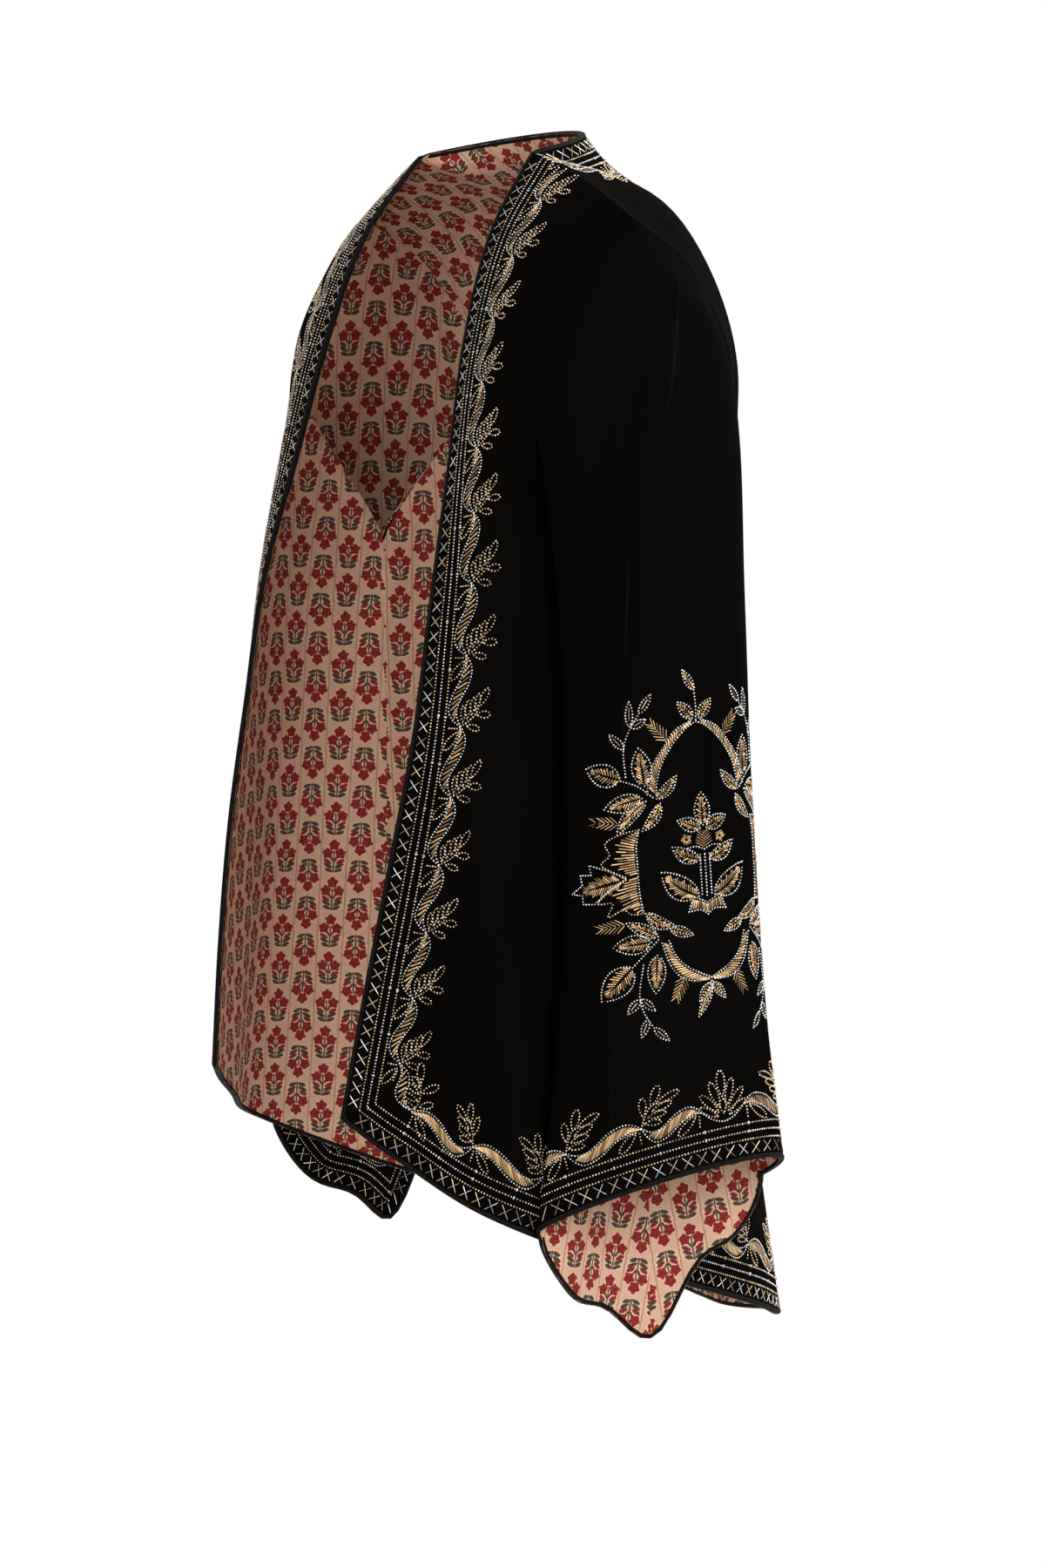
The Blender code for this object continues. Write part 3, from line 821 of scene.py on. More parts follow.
def stitch_mesh(starts, ends, start_up, end_up, widths, heights, rng):
    """Vertices, triangles and tones of many stitches."""
    along = ends - starts
    up = unit(start_up + end_up)
    side = unit(np.cross(up, along)) * widths[:, None] / 2
    rise = up * heights[:, None]
    verts = [starts]
    for share in STITCH_SHOULDERS:
        middle = starts + along * share
        verts += [middle + side, middle + rise, middle - side]
    verts.append(ends)
    return repeated(np.stack(verts, axis=1), STITCH_FACES, rng)


def repeated(verts, faces, rng):
    """One list of vertices, triangles and tones from copies of one shape."""
    count, each = verts.shape[:2]
    faces = np.array(faces)[None] + (np.arange(count) * each)[:, None, None]
    tones = np.repeat(rng.uniform(0.0, 1.0, count), each)
    return verts.reshape(-1, 3), faces.reshape(-1, 3), tones


def sewn(name, work, materials, left=True, right=False):
    """Lifts all beads and stitches of one piece onto the cloth as one mesh, on either side or both."""
    rng = np.random.default_rng(RANDOM_SEED)
    radius = settings().beads.diameter / 2
    parts = []
    for slot, metal in enumerate(work.beads):
        places = np.concatenate(work.beads[metal]) if work.beads[metal] else np.zeros((0, 2))
        points, normals, good = work.panel.lift(places)
        if good.any():
            parts.append((slot, bead_mesh(points[good], normals[good], radius, rng)))
    for slot, kind in enumerate(work.strokes):
        if work.strokes[kind]:
            starts, ends, widths, heights = map(np.concatenate, zip(*work.strokes[kind]))
            first, first_up, good_a = work.panel.lift(starts)
            last, last_up, good_b = work.panel.lift(ends)
            good = good_a & good_b
            sizes = widths[good] * MM, heights[good] * MM
            ridges = stitch_mesh(first[good], last[good], first_up[good], last_up[good], *sizes, rng)
            parts.append((slot, ridges))
    other = [(slot, mirrored_part(part)) for slot, part in parts]
    return joined(name, (parts if left else []) + (other if right else []), materials)


def mirrored_part(part):
    verts, faces, tones = part
    return verts * MIRROR, faces[:, ::-1], tones


def joined(name, parts, materials):
    """One object from lists of vertices, triangles and tones, each with its material's index."""
    starts = np.cumsum([0] + [len(part[0]) for _, part in parts])
    verts = np.concatenate([part[0] for _, part in parts])
    faces = np.concatenate([part[1] + start for (_, part), start in zip(parts, starts)])
    slots = np.concatenate([np.full(len(part[1]), slot) for slot, part in parts])
    tones = np.concatenate([part[2] for _, part in parts])
    mesh = bpy.data.meshes.new(name)
    mesh.vertices.add(len(verts))
    mesh.vertices.foreach_set("co", verts.ravel())
    mesh.loops.add(faces.size)
    mesh.loops.foreach_set("vertex_index", faces.ravel())
    mesh.polygons.add(len(faces))
    mesh.polygons.foreach_set("loop_start", np.arange(0, faces.size, 3))
    mesh.update(calc_edges=True)
    mesh.attributes.new("tone", "FLOAT", "POINT").data.foreach_set("value", tones)
    mesh.shade_smooth()
    made = new_object(name, mesh, materials)
    mesh.polygons.foreach_set("material_index", slots)
    mesh.update()
    print(name, len(faces), "triangles")
    return made


class Edge:
    """An edge of a flat piece, read by distance along it and distance into the cloth."""

    def __init__(self, line, inside):
        self.line = line
        self.places = travelled(line)
        self.length = self.places[-1]
        self.ahead = unit(np.gradient(line, axis=0))
        side = np.stack([-self.ahead[:, 1], self.ahead[:, 0]], axis=1)
        self.side = side * np.sign(np.sum(side.mean(axis=0) * (inside - line.mean(axis=0))))

    def at(self, along, into):
        """Flat points at a distance along the edge and into the cloth, and straight on past its ends."""
        reached = np.clip(along, 0, self.length)
        over = (along - reached)[:, None]
        values = np.concatenate([self.line, self.side, self.ahead], axis=1)
        values = between(values, self.places, reached)
        return values[:, :2] + unit(values[:, 2:4]) * into[:, None] + unit(values[:, 4:]) * over

    def apart(self, flat):
        """How far flat points lie from the edge."""
        start, step = self.line[:-1], np.diff(self.line, axis=0)
        away = flat[:, None] - start[None]
        share = np.clip((away * step).sum(-1) / (step * step).sum(-1), 0, 1)
        return np.linalg.norm(away - share[:, :, None] * step, axis=-1).min(axis=1)


def along_edge(edge, start, way):
    """A place that charts distances from a point of an edge, in one of its two directions."""
    return lambda chart: edge.at(start + way * chart[:, 0], chart[:, 1])


# The border, charted from the garment's edge inwards
CROSS_ROW = 7.2
CROSS_PITCH = 8.8
CROSS_SIZE = (6.6, 7.4)
BEAD_LINES = ((12.3, "gold"), (17.0, "silver"), (22.0, "gold"))
BAR_PITCH = 27.0
BAR_LENGTH = 2.2

# How far a border is charted past the end of its piece, where the cloth's edge trims it
OVERRUN = 10.0

# One wave of the scroll: distances along the edge and in from the last bead line
SCROLL_LENGTH = 45.0
SCROLL_START = BEAD_LINES[-1][0]
NODE = 12.5
RIBBON_FAR = ((0, 12.5), (4.5, 16), (10, 17.3), (19, 15.2), (28, 10.6), (35, 8.4), (40, 9.2), (45, 12.5))
RIBBON_NEAR = ((0.5, 12), (7, 12.4), (12.5, 10.6), (18.5, 8), (24, 5), (30, 2.8), (37, 2.2),
               (42, 6.2), (45, 12))
Loop = namedtuple("Loop", "base tip width metal", defaults=("gold",))

# The ribbon's stitches: their pitch grows with this power where a wave is lower
SCROLL_PITCH = 1.55
LOWER_SPARSER = 4

# What hangs from each node, the front's lower waves, and the length of a wave
DROP_LOOP = Loop((3.5, -1.5), (15, -11), 4.2)
TICKS = (((5, -1), (11, -2.5)), ((1.5, -2.5), (2, -8.5)))
FRONT_RISE = 0.85
FRONT_WAVE = 40.0
HEM_WAVE = 48.0

# Sprays, charted from their node: along the edge and into the cloth
Spray = namedtuple("Spray", "stem loops")
HEM_SPRAY = Spray(((0, 0), (-4, 7), (-8, 11.5), (-11, 12)), (
    Loop((-8, 11.5), (-14, 22.5), 4.2),
    Loop((-2.5, 6.5), (-4.5, 17.5), 3.8),
    Loop((-11, 12), (-24, 16.5), 3.6),
    Loop((-8, 8), (-19, 11), 3.6),
    Loop((-5, 5), (-15, 6), 3.4),
    Loop((-2.5, 2), (-11.5, 1), 3.2),
))
FRONT_SPRAY = Spray(((0, 0), (-3.5, 4.5), (-8, 8.5), (-13, 10.5)), (
    Loop((-13, 10.5), (-23.5, 15), 3.4),
    Loop((-10.5, 8), (-20, 10), 2.8),
    Loop((-7.5, 6), (-17.5, 7), 2.8),
    Loop((-5, 3.5), (-15.5, 3.5), 2.8),
    Loop((-2.5, 1), (-12, 0.5), 2.6),
    Loop((-8, 9.5), (-9, 17.5), 3.8),
    Loop((-1, 4), (0, 12), 3.4),
))


def border_rows(work, start, stop):
    """The crosses and the three bead lines along an edge."""
    count = max(1, round((stop - start) / CROSS_PITCH))
    for i in range(count):
        centre = start + (i + 0.5) * (stop - start) / count
        work.cross((centre, CROSS_ROW), CROSS_SIZE, "gold" if i % 2 else "silver")
    for into, metal in BEAD_LINES:
        work.line(((start, into), (stop, into)), metal, curved=False)
    bars = np.arange(start + BAR_PITCH / 2, stop, BAR_PITCH)
    for into, _ in BEAD_LINES[1:]:
        starts = np.stack([bars, np.full(len(bars), into - BAR_LENGTH / 2)], axis=1)
        work.stitch(starts, starts + (0.0, BAR_LENGTH), BAR, "silver")


class Wave:
    """One wave of the scroll, fitted to its length, its rise and the shift of its two ends."""

    def __init__(self, work, node, length, rise=1.0, shifts=(0.0, 0.0)):
        self.work, self.node, self.length, self.rise, self.shifts = work, node, length, rise, shifts

    def at(self, points):
        share, into = (np.asarray(points, float) / (SCROLL_LENGTH, 1.0)).T
        shift = np.interp(share, (0.0, 1.0), self.shifts)
        return np.stack([self.node + share * self.length, SCROLL_START + into * self.rise + shift], axis=1)

    def from_node(self, points, rise=1.0):
        foot = (self.node, SCROLL_START + NODE * self.rise + self.shifts[0])
        return np.asarray(points, float) * (1.0, rise) + foot

    def sew(self):
        """The ribbon with its beads, and the small loop and ticks that hang from its node."""
        far, near = self.at(RIBBON_FAR), self.at(RIBBON_NEAR)
        self.work.line(far)
        self.work.line(near)
        self.work.satin(far[:-1], near[:-1], pitch=SCROLL_PITCH / self.rise**LOWER_SPARSER)
        base, tip = self.from_node((DROP_LOOP.base, DROP_LOOP.tip), self.rise)
        self.work.loop(base, tip, DROP_LOOP.width)
        for tick in TICKS:
            self.work.line(self.from_node(tick, self.rise), "gold", curved=False)

    def add(self, spray):
        """A leaf spray at the wave's start that leans back over the wave before."""
        self.work.line(self.from_node(spray.stem), "gold")
        for loop in spray.loops:
            base, tip = self.from_node((loop.base, loop.tip))
            self.work.loop(base, tip, loop.width)


def scroll(work, start, count, length, rise=1.0, shifts=(0.0, 0.0), spray=HEM_SPRAY):
    """Waves of the scroll one after another, with a spray at each node but the first."""
    for i in range(count):
        first = shifts[0] if i == 0 else 0.0
        last = shifts[1] if i == count - 1 else 0.0
        wave = Wave(work, start + i * length, length, rise, (first, last))
        wave.sew()
        if i:
            wave.add(spray)


# The palmette at the middle of the cuff and the spray in the front's corner: across and up from the foot
PALMETTE = (
    Loop((0, 15), (0, 31), 4.4, "silver"),
    Loop((0, 5), (0, 13.5), 3.6),
    Loop((2, 9), (6, 25), 4.0),
    Loop((3, 6), (12, 18.5), 4.0),
    Loop((3.5, 3.5), (13.5, 11), 3.6),
)
CORNER_SPRAY = Spray(((0, 0), (3.5, 6), (4, 12), (3, 20)), (
    Loop((3, 17), (2.5, 30), 4.5),
    Loop((5, 12), (15.5, 18), 4.2),
    Loop((4.5, 3.5), (13, 6.5), 3.8),
    Loop((2.5, 15), (-2, 21), 3.2),
    Loop((2.5, 11), (-4, 16), 3.2),
    Loop((2.5, 6.5), (-6.5, 10), 3.4),
    Loop((1.5, 2), (-8, 4.5), 3.4),
))


def palmette(work):
    """Upright loops fanned about the middle of the cuff."""
    for loop in PALMETTE:
        for way in ((1,) if loop.tip[0] == 0 else (1, -1)):
            base, tip = np.multiply((loop.base, loop.tip), (way, 1)) + PALMETTE_FOOT
            work.loop(base, tip, loop.width, loop.metal)


def corner_spray(work):
    """The upright spray that stands in the front's corner."""
    work.line(CORNER_SPRAY.stem, "gold")
    for loop in CORNER_SPRAY.loops:
        work.loop(*loop)


# The wreath, charted out from the sleeve's outer middle and up from the wreath's centre
Leaf = namedtuple("Leaf", "base tip width bend", defaults=(0,))
WREATH_RIBBONS = (
    (((3, 75), (13, 70), (21, 60), (27, 51), (30, 42), (31, 35)),
     ((0, 74), (6, 71), (15, 62), (22, 51), (25, 42), (26, 35))),
    (((28, -52), (24, -65), (18, -73), (10, -76), (2, -76)),
     ((24, -51), (20, -61), (13, -68), (6, -72), (0, -75))),
)
WREATH_LEAVES = (
    Leaf((45, 44), (64, 52), 13),
    Leaf((32, 40), (34, 62), 11),
    Leaf((34, 33), (55, 28), 10),
    Leaf((32, 31), (49, 13), 7, 1.5),
    Leaf((24, 29), (35, 14), 6, -1.5),
    Leaf((26, 32), (14, 44), 6, 1),
    Leaf((30, -48), (47, -39), 7),
    Leaf((34, -51), (55, -53), 11),
    Leaf((45, -65), (63, -84), 15),
    Leaf((31, -59), (33, -81), 10),
    Leaf((23, -44), (10, -49), 6),
    Leaf((36, -34), (20, -43), 7, 2),
)
WREATH_STEMS = (
    ((28, 33), (36, 40), (45, 44)),
    ((30, -50), (38, -58), (45, -65)),
    ((42, 46), (42, 62), (38, 73), (32, 82)),
    ((39, -64), (42, -82), (40, -92), (35, -101)),
)
WREATH_BUDS = (
    ((42, 62), (49, 71), 4.4),
    ((38, 75), (37, 89), 4.0),
    ((32, 82), (25, 92), 4.0),
    ((37, 74), (29, 78), 4.4),
    ((42, -84), (49, -92), 4.4),
    ((41, -84), (34, -91), 4.2),
    ((38, -96), (42, -106), 4.0),
    ((35, -101), (27, -109), 4.0),
)
WREATH_FEATHERS = (
    ((18, 65), (27, 76)),
    ((48, 19), (63, 21)),
    ((48, -40), (63, -42)),
    ((16, -73), (22, -86)),
)
AXIS_STEMS = (((0, 75), (0.5, 84), (0, 92)), ((0, -75), (0, -81)))
AXIS_LEAVES = (
    Leaf((0, 14), (0, 33), 9.5),
    Leaf((0, 92), (-6, 104), 4.6),
    Leaf((0, -80), (-9, -97), 4.6),
)

# The acanthus at the wreath's side
FAN_INNER = ((37, 15), (39, 5), (39, -6), (39, -16), (38.5, -25), (37, -34))
FAN_UPPER = ((37, 15), (47, 13), (56, 8), (54, 1), (59, -4), (54, -8), (46, -12))
FAN_LOWER = ((46, -14), (56, -20), (62, -27), (54, -27), (57, -35), (48, -31), (44, -34), (37, -34))
FAN_SPEAR = ((46, -13), (55, -8), (66, -4), (65, -10), (72, -10), (71, -16), (78, -21), (71, -22),
             (71, -27), (64, -27), (56, -20), (46, -13))
FAN_SPEAR_FILL = ((48, -14), (74, -20.5), 15)
FAN_SPEAR_PITCH = 1.6
FAN_SPEAR_REACH = 0.74

# Its two lobes: outline, where each begins and ends along the inner line, and its count of stitches
FAN_LOBES = ((FAN_UPPER, 0.02, 0.52, 19), (FAN_LOWER, 0.56, 0.98, 15))
FAN_STITCHED = (0.02, 0.98)
FAN_REACH = 0.78
FAN_UNEVEN = 0.2
FAN_UNEVEN_TURNS = 31
FAN_FREE = 0.05
FAN_OVERLAP = (0.45, 0.52)

# The plant inside the wreath
PLANT_LEAVES = (
    Leaf((2, 12.5), (15, 18), 8),
    Leaf((2, 76), (10, 86), 6.5),
    Leaf((1, -78), (8, -88), 5),
    Leaf((3, -6), (19, 3), 8, -1.5),
    Leaf((5, -27), (26, -11), 13.5, -2),
)
PLANT_LINES = (
    ((0, -3), (0, -27)),
    ((3, -3), (3, -26)),
    ((0, 0), (5, 2), (10, 1.5)),
)
PLANT_FLOWER = (10.5, 6.5)
FLOWER_STITCHES = 20
FLOWER_PETALS = 5
FLOWER_EYE = 0.8
FLOWER_RADIUS = 3.1
FLOWER_WAVE = 0.5
PLANT_BUD = ((0, 1.5), (0, 11))
PLANT_BUD_SPREAD = 11
PLANT_FOOT = (((0, -38), (4, -35), (11.5, -35.5)), ((0, -31), (4, -29), (8, -27.5), (11.5, -35.5)))
PLANT_FOOT_SLANT = 0.1
PLANT_FOOT_PITCH = 1.4


def half_wreath(work):
    """One half of the wreath, its clusters, its side fan and the plant inside."""
    for ribbon in WREATH_RIBBONS:
        for side in ribbon:
            work.line(side)
        work.satin(*ribbon)
    for leaf in WREATH_LEAVES + PLANT_LEAVES:
        work.leaf(*leaf)
    for stem in WREATH_STEMS:
        work.line(stem)
    for bud in WREATH_BUDS:
        work.bud(*bud)
    for feather in WREATH_FEATHERS:
        work.feather(*feather)
    for line in PLANT_LINES:
        work.line(line)
    side_fan(work)
    plant_flower(work)


def side_fan(work):
    """The broad acanthus at the wreath's side: beads round it and long gold stitches inside."""
    work.line(FAN_INNER)
    work.line(FAN_UPPER, "gold")
    work.line(FAN_LOWER, "gold")
    work.line(FAN_SPEAR, curved=False)
    work.herringbone(*FAN_SPEAR_FILL, pitch=FAN_SPEAR_PITCH, reach=FAN_SPEAR_REACH)
    inner = smooth(FAN_INNER)
    for outline, first, last, count in FAN_LOBES:
        share = np.linspace(*FAN_STITCHED, count)
        starts = read(inner, first + (last - first) * share)
        step = read(smooth(outline), share) - starts
        reach = (FAN_REACH - FAN_UNEVEN * np.abs(np.sin(share * FAN_UNEVEN_TURNS)))[:, None]
        low, high = [starts + step * reach * part for part in FAN_OVERLAP]
        work.stitch(starts + step * FAN_FREE, high, FAN_FILL)
        work.stitch(low, starts + step * reach, FAN_FILL)


def plant_flower(work):
    """The plant's small gold flower of short stitches, its bud and its foot."""
    centre = np.array(PLANT_FLOWER)
    angles = np.arange(FLOWER_STITCHES) * 2 * math.pi / FLOWER_STITCHES
    ray = np.stack([np.cos(angles), np.sin(angles)], axis=1)
    reach = (FLOWER_RADIUS + FLOWER_WAVE * np.cos(angles * FLOWER_PETALS))[:, None]
    work.stitch(centre + ray * FLOWER_EYE, centre + ray * reach)
    work.feather(*PLANT_BUD, spread=PLANT_BUD_SPREAD)
    lower, upper = PLANT_FOOT
    work.line(lower)
    work.line(upper)
    work.satin(lower, upper[:-1], slant=PLANT_FOOT_SLANT, pitch=PLANT_FOOT_PITCH)


def new_material(name, **constants):
    """A material, its nodes and its Principled sockets, which hold the constant values."""
    made = bpy.data.materials.new(name)
    made.use_nodes = True
    sockets = made.node_tree.nodes["Principled BSDF"].inputs
    for socket, value in constants.items():
        sockets[socket.replace("_", " ")].default_value = value
    return made, Maths(made.node_tree), sockets


class Maths:
    """Adds nodes to a tree in the order that a sum is read."""

    def __init__(self, tree):
        self.tree = tree

    def node(self, kind, **values):
        made = self.tree.nodes.new(kind)
        for name, value in values.items():
            setattr(made, name, value)
        return made

    def put(self, socket, value):
        if isinstance(value, bpy.types.NodeSocket):
            self.tree.links.new(value, socket)
        else:
            socket.default_value = value

    def do(self, operation, *values, clamp=False):
        made = self.node("ShaderNodeMath", operation=operation, use_clamp=clamp)
        for socket, value in zip(made.inputs, values):
            self.put(socket, value)
        return made.outputs[0]

    def ramp(self, value, gain, shift):
        """A value times a gain plus a shift, held between 0 and 1."""
        return self.do("MULTIPLY_ADD", value, gain, shift, clamp=True)

    def long_side(self, a, b):
        """The long side of a right-angled triangle."""
        return self.do("SQRT", self.do("ADD", self.do("MULTIPLY", a, a), self.do("MULTIPLY", b, b)))

    def mix(self, share, low, high):
        made = self.node("ShaderNodeMix", data_type="RGBA")
        for name, value in (("Factor", share), ("A", low), ("B", high)):
            self.put(made.inputs[name], value)
        return made.outputs["Result"]

    def noise(self, vector, scale, detail=3.0, rough=0.5):
        made = self.node("ShaderNodeTexNoise")
        for name, value in (("Vector", vector), ("Scale", scale), ("Detail", detail), ("Roughness", rough)):
            self.put(made.inputs[name], value)
        return made.outputs["Fac"]

    def bump(self, height, distance, strength):
        made = self.node("ShaderNodeBump")
        for name, value in (("Height", height), ("Distance", distance), ("Strength", strength)):
            self.put(made.inputs[name], value)
        return made.outputs["Normal"]

    def stretched(self, vector, scale):
        """Coordinates scaled differently each way."""
        made = self.node("ShaderNodeMapping")
        self.put(made.inputs["Scale"], scale)
        self.put(made.inputs["Vector"], vector)
        return made.outputs["Vector"]

    def object_place(self):
        return self.node("ShaderNodeTexCoord").outputs["Object"]

    def parts(self, vector):
        made = self.node("ShaderNodeSeparateXYZ")
        self.put(made.inputs[0], vector)
        return made.outputs


def new_group(name, values, results):
    """An empty node group: coordinates and named values in, named masks and heights out."""
    group = bpy.data.node_groups.new(name, "ShaderNodeTree")
    group.interface.new_socket("Vector", in_out="INPUT", socket_type="NodeSocketVector")
    for label, default in values.items():
        socket = group.interface.new_socket(label, in_out="INPUT", socket_type="NodeSocketFloat")
        socket.default_value = default
    for label in results:
        group.interface.new_socket(label, in_out="OUTPUT", socket_type="NodeSocketFloat")
    maths = Maths(group)
    return group, maths, maths.node("NodeGroupInput").outputs, maths.node("NodeGroupOutput").inputs


def placed(maths, name, build, vector):
    """A node group in a material, built when first asked for and fed with coordinates."""
    group = bpy.data.node_groups.get(name) or build(name)
    made = maths.node("ShaderNodeGroup", node_tree=group)
    maths.put(made.inputs["Vector"], vector)
    return made.outputs


# Noises: scale in turns a metre, then detail and roughness where they are not the usual ones
PILE_VALUES = {"Streak": 14.0, "Pile": 1800.0}
STREAK_DETAIL = (4.0, 0.6)
PILE_DETAIL = 2.0
# Noise of the thin lines of painted highlight on crushed velvet pile, then of the patches where they show
CRUSH_HIGHLIGHT_NOISE = (9.0, 1.0)
PATCH_NOISE = (7.0, 2.0)
SLUB_NOISE = (260.0,)
WANDER_NOISE = (420.0, 2.0)
WORN_NOISE = (900.0, 3.0, 0.7)
PUCKER_NOISE = (90.0, 2.0)
RIB_NOISE = (700.0, 3.0, 0.6)
# Fine noise that lightens beads and thread in patches of painted sheen and varies their roughness
SHEEN_GRAIN_NOISE = (1500.0, 2.0)
FLOOR_NOISE = (3.0,)

# How far noises are stretched, mostly down the cloth
STREAK_STRETCH = (1.0, 1.0, 0.16)
# Stretch of the thin lines of painted highlight on crushed pile
CRUSH_HIGHLIGHT_STRETCH = (1.0, 1.0, 0.012)
PUCKER_STRETCH = (1.0, 0.12, 1.0)

# Gain and shift that turn a noise into a mask
STREAK_RAMP = (2.6, -0.85)
# Ramps of the painted highlight lines on crushed pile and of the patches where they show
CRUSH_HIGHLIGHT_RAMP = (-260.0, 1.0)
PATCH_RAMP = (5.0, -2.4)
SLUB_RAMP = (1.6, -0.3)
WORN_RAMP = (0.6, 0.66)

STREAK_HEIGHT = 0.5


def nap_and_highlight_group(name):
    """Pile lying in slow streaks down the cloth: a tone, thin lines of painted highlight where the pile is
    crushed, and a height.
    """
    group, maths, given, out = new_group(name, PILE_VALUES, ("Tone", "Crush", "Height"))
    vector = given["Vector"]
    streak = maths.noise(maths.stretched(vector, STREAK_STRETCH), given["Streak"], *STREAK_DETAIL)
    # Thin lines of painted highlight: a stretched noise near its middle value, shown only in patches
    fall = maths.noise(maths.stretched(vector, CRUSH_HIGHLIGHT_STRETCH), *CRUSH_HIGHLIGHT_NOISE)
    ridge = maths.do("ABSOLUTE", maths.do("SUBTRACT", fall, 0.5))
    patch = maths.ramp(maths.noise(vector, *PATCH_NOISE), *PATCH_RAMP)
    pile = maths.noise(vector, given["Pile"], PILE_DETAIL)
    maths.put(out["Tone"], maths.ramp(streak, *STREAK_RAMP))
    maths.put(out["Crush"], maths.do("MULTIPLY", maths.ramp(ridge, *CRUSH_HIGHLIGHT_RAMP), patch))
    maths.put(out["Height"], maths.do("ADD", maths.do("MULTIPLY", streak, STREAK_HEIGHT), pile))
    return group


# Threads of the weave, as waves in radians a metre
WEAVE_VALUES = {"Threads": 5200.0}


def weave_group(name):
    """A plain weave of fine threads on the flat pattern: a tone and a height."""
    group, maths, given, out = new_group(name, WEAVE_VALUES, ("Tone", "Height"))
    apart = maths.parts(given["Vector"])
    turns = [maths.do("MULTIPLY", apart[i], given["Threads"]) for i in range(2)]
    waves = [maths.do("ABSOLUTE", maths.do("SINE", turn)) for turn in turns]
    maths.put(out["Height"], maths.do("MULTIPLY", *waves))
    maths.put(out["Tone"], maths.ramp(maths.noise(given["Vector"], *SLUB_NOISE), *SLUB_RAMP))
    return group


# The block print, in millimetres: three flowers and two buds over leaves, turned over in every other column
PRINT_COLUMN = 17.0
PRINT_REPEAT = 25.0
PRINT_WANDER = 1.5
# Half the width of the dark line of painted shade along the tuck at each column's edge
TUCK_SHADE_HALF = 0.35

# The stem: half its width, its foot above the repeat's edge and its top above the middle
PRINT_STEM = (0.5, 1.6, 3.6)

# How fast ink fades at an edge, and how far out ink and halo reach there
PRINT_EDGE = 2.8
PRINT_INK = 0.5
PRINT_HALO = 2.2

# Flowers: across and up from the middle, radius, then how deep the petals are cut
PRINT_FLOWERS = ((0.0, 7.6, 3.9), (4.3, 2.1, 3.7))
PETALS = 5.0
PETAL_RADIUS = (0.12, 0.9)

# Buds and leaves: across and up from the middle, half the length, half the width, lean in degrees
PRINT_BUDS = ((4.2, -3.2, 3.0, 1.3, 28.0),)
PRINT_LEAVES = (
    (3.7, -6.0, 3.3, 1.3, 28.0),
    (3.1, -9.1, 2.9, 1.25, 20.0),
    (1.4, -1.5, 2.1, 0.75, 60.0),
)


def print_group(name):
    """Masks of the block print's flowers and leaves, and of the dark lines of painted tuck shade at the
    columns' edges, on the flat pattern.
    """
    group, maths, given, out = new_group(name, {}, ("Flower", "Leaf", "Line", "Halo"))
    do = maths.do
    noise = maths.noise(given["Vector"], *WANDER_NOISE)
    wander = do("MULTIPLY_ADD", noise, PRINT_WANDER, -PRINT_WANDER / 2)
    x, y = [do("ADD", do("MULTIPLY", part, 1 / MM), wander) for part in maths.parts(given["Vector"])[:2]]
    odd = do("FLOORED_MODULO", do("FLOOR", do("DIVIDE", x, PRINT_COLUMN)), 2.0)
    turned = do("MULTIPLY", y, do("MULTIPLY_ADD", odd, -2.0, 1.0))
    turned = do("ADD", turned, do("MULTIPLY", odd, PRINT_REPEAT / 2))
    across = do("SUBTRACT", do("FLOORED_MODULO", x, PRINT_COLUMN), PRINT_COLUMN / 2)
    up = do("SUBTRACT", do("FLOORED_MODULO", turned, PRINT_REPEAT), PRINT_REPEAT / 2)
    half = do("ABSOLUTE", across)

    def most(masks):
        total = masks[0]
        for mask in masks[1:]:
            total = do("MAXIMUM", total, mask)
        return total

    def bloom(centre_x, centre_y, radius):
        dx = do("SUBTRACT", half, centre_x) if centre_x else across
        dy = do("SUBTRACT", up, centre_y)
        petals = do("COSINE", do("MULTIPLY", do("ARCTAN2", dx, dy), PETALS))
        edge = do("MULTIPLY_ADD", petals, *[radius * share for share in PETAL_RADIUS])
        return do("SUBTRACT", edge, maths.long_side(dx, dy))

    def blade(centre_x, centre_y, long, short, lean):
        cos, sin = math.cos(math.radians(lean)), math.sin(math.radians(lean))
        dx, dy = do("SUBTRACT", half, centre_x), do("SUBTRACT", up, centre_y)
        a = do("ADD", do("MULTIPLY", dx, cos / long), do("MULTIPLY", dy, sin / long))
        b = do("SUBTRACT", do("MULTIPLY", dy, cos / short), do("MULTIPLY", dx, sin / short))
        return do("MULTIPLY", do("SUBTRACT", 1.0, maths.long_side(a, b)), short)

    wide, foot, top = PRINT_STEM
    low, high = do("ADD", up, PRINT_REPEAT / 2 - foot), do("SUBTRACT", top, up)
    stem = do("MINIMUM", do("SUBTRACT", wide, half), do("MINIMUM", low, high))
    flower = most([bloom(*each) for each in PRINT_FLOWERS] + [blade(*bud) for bud in PRINT_BUDS])
    leaf = most([blade(*each) for each in PRINT_LEAVES] + [stem])
    # The dark line at each column's edge is painted shade of the lining's tucks
    line = do("SUBTRACT", half, PRINT_COLUMN / 2 - TUCK_SHADE_HALF)
    for label, mask in (("Flower", flower), ("Leaf", leaf), ("Line", line)):
        maths.put(out[label], maths.ramp(mask, PRINT_EDGE, PRINT_INK))
    maths.put(out["Halo"], maths.ramp(most([flower, leaf]), PRINT_EDGE, PRINT_HALO))
    return group


def rgba(colour, times=1.0):
    """A colour for a socket, made lighter or darker."""
    return (*[min(1.0, value * times) for value in colour], 1.0)


# How much lighter than its ground each cloth gets: raised pile, the painted highlight on crushed pile,
# thread, print halo, rib
PILE_LIGHT = 2.2
CRUSH_HIGHLIGHT = 6.0
THREAD_LIGHT = 1.12
HALO_LIGHT = 1.35
RIB_LIGHT = 2.4

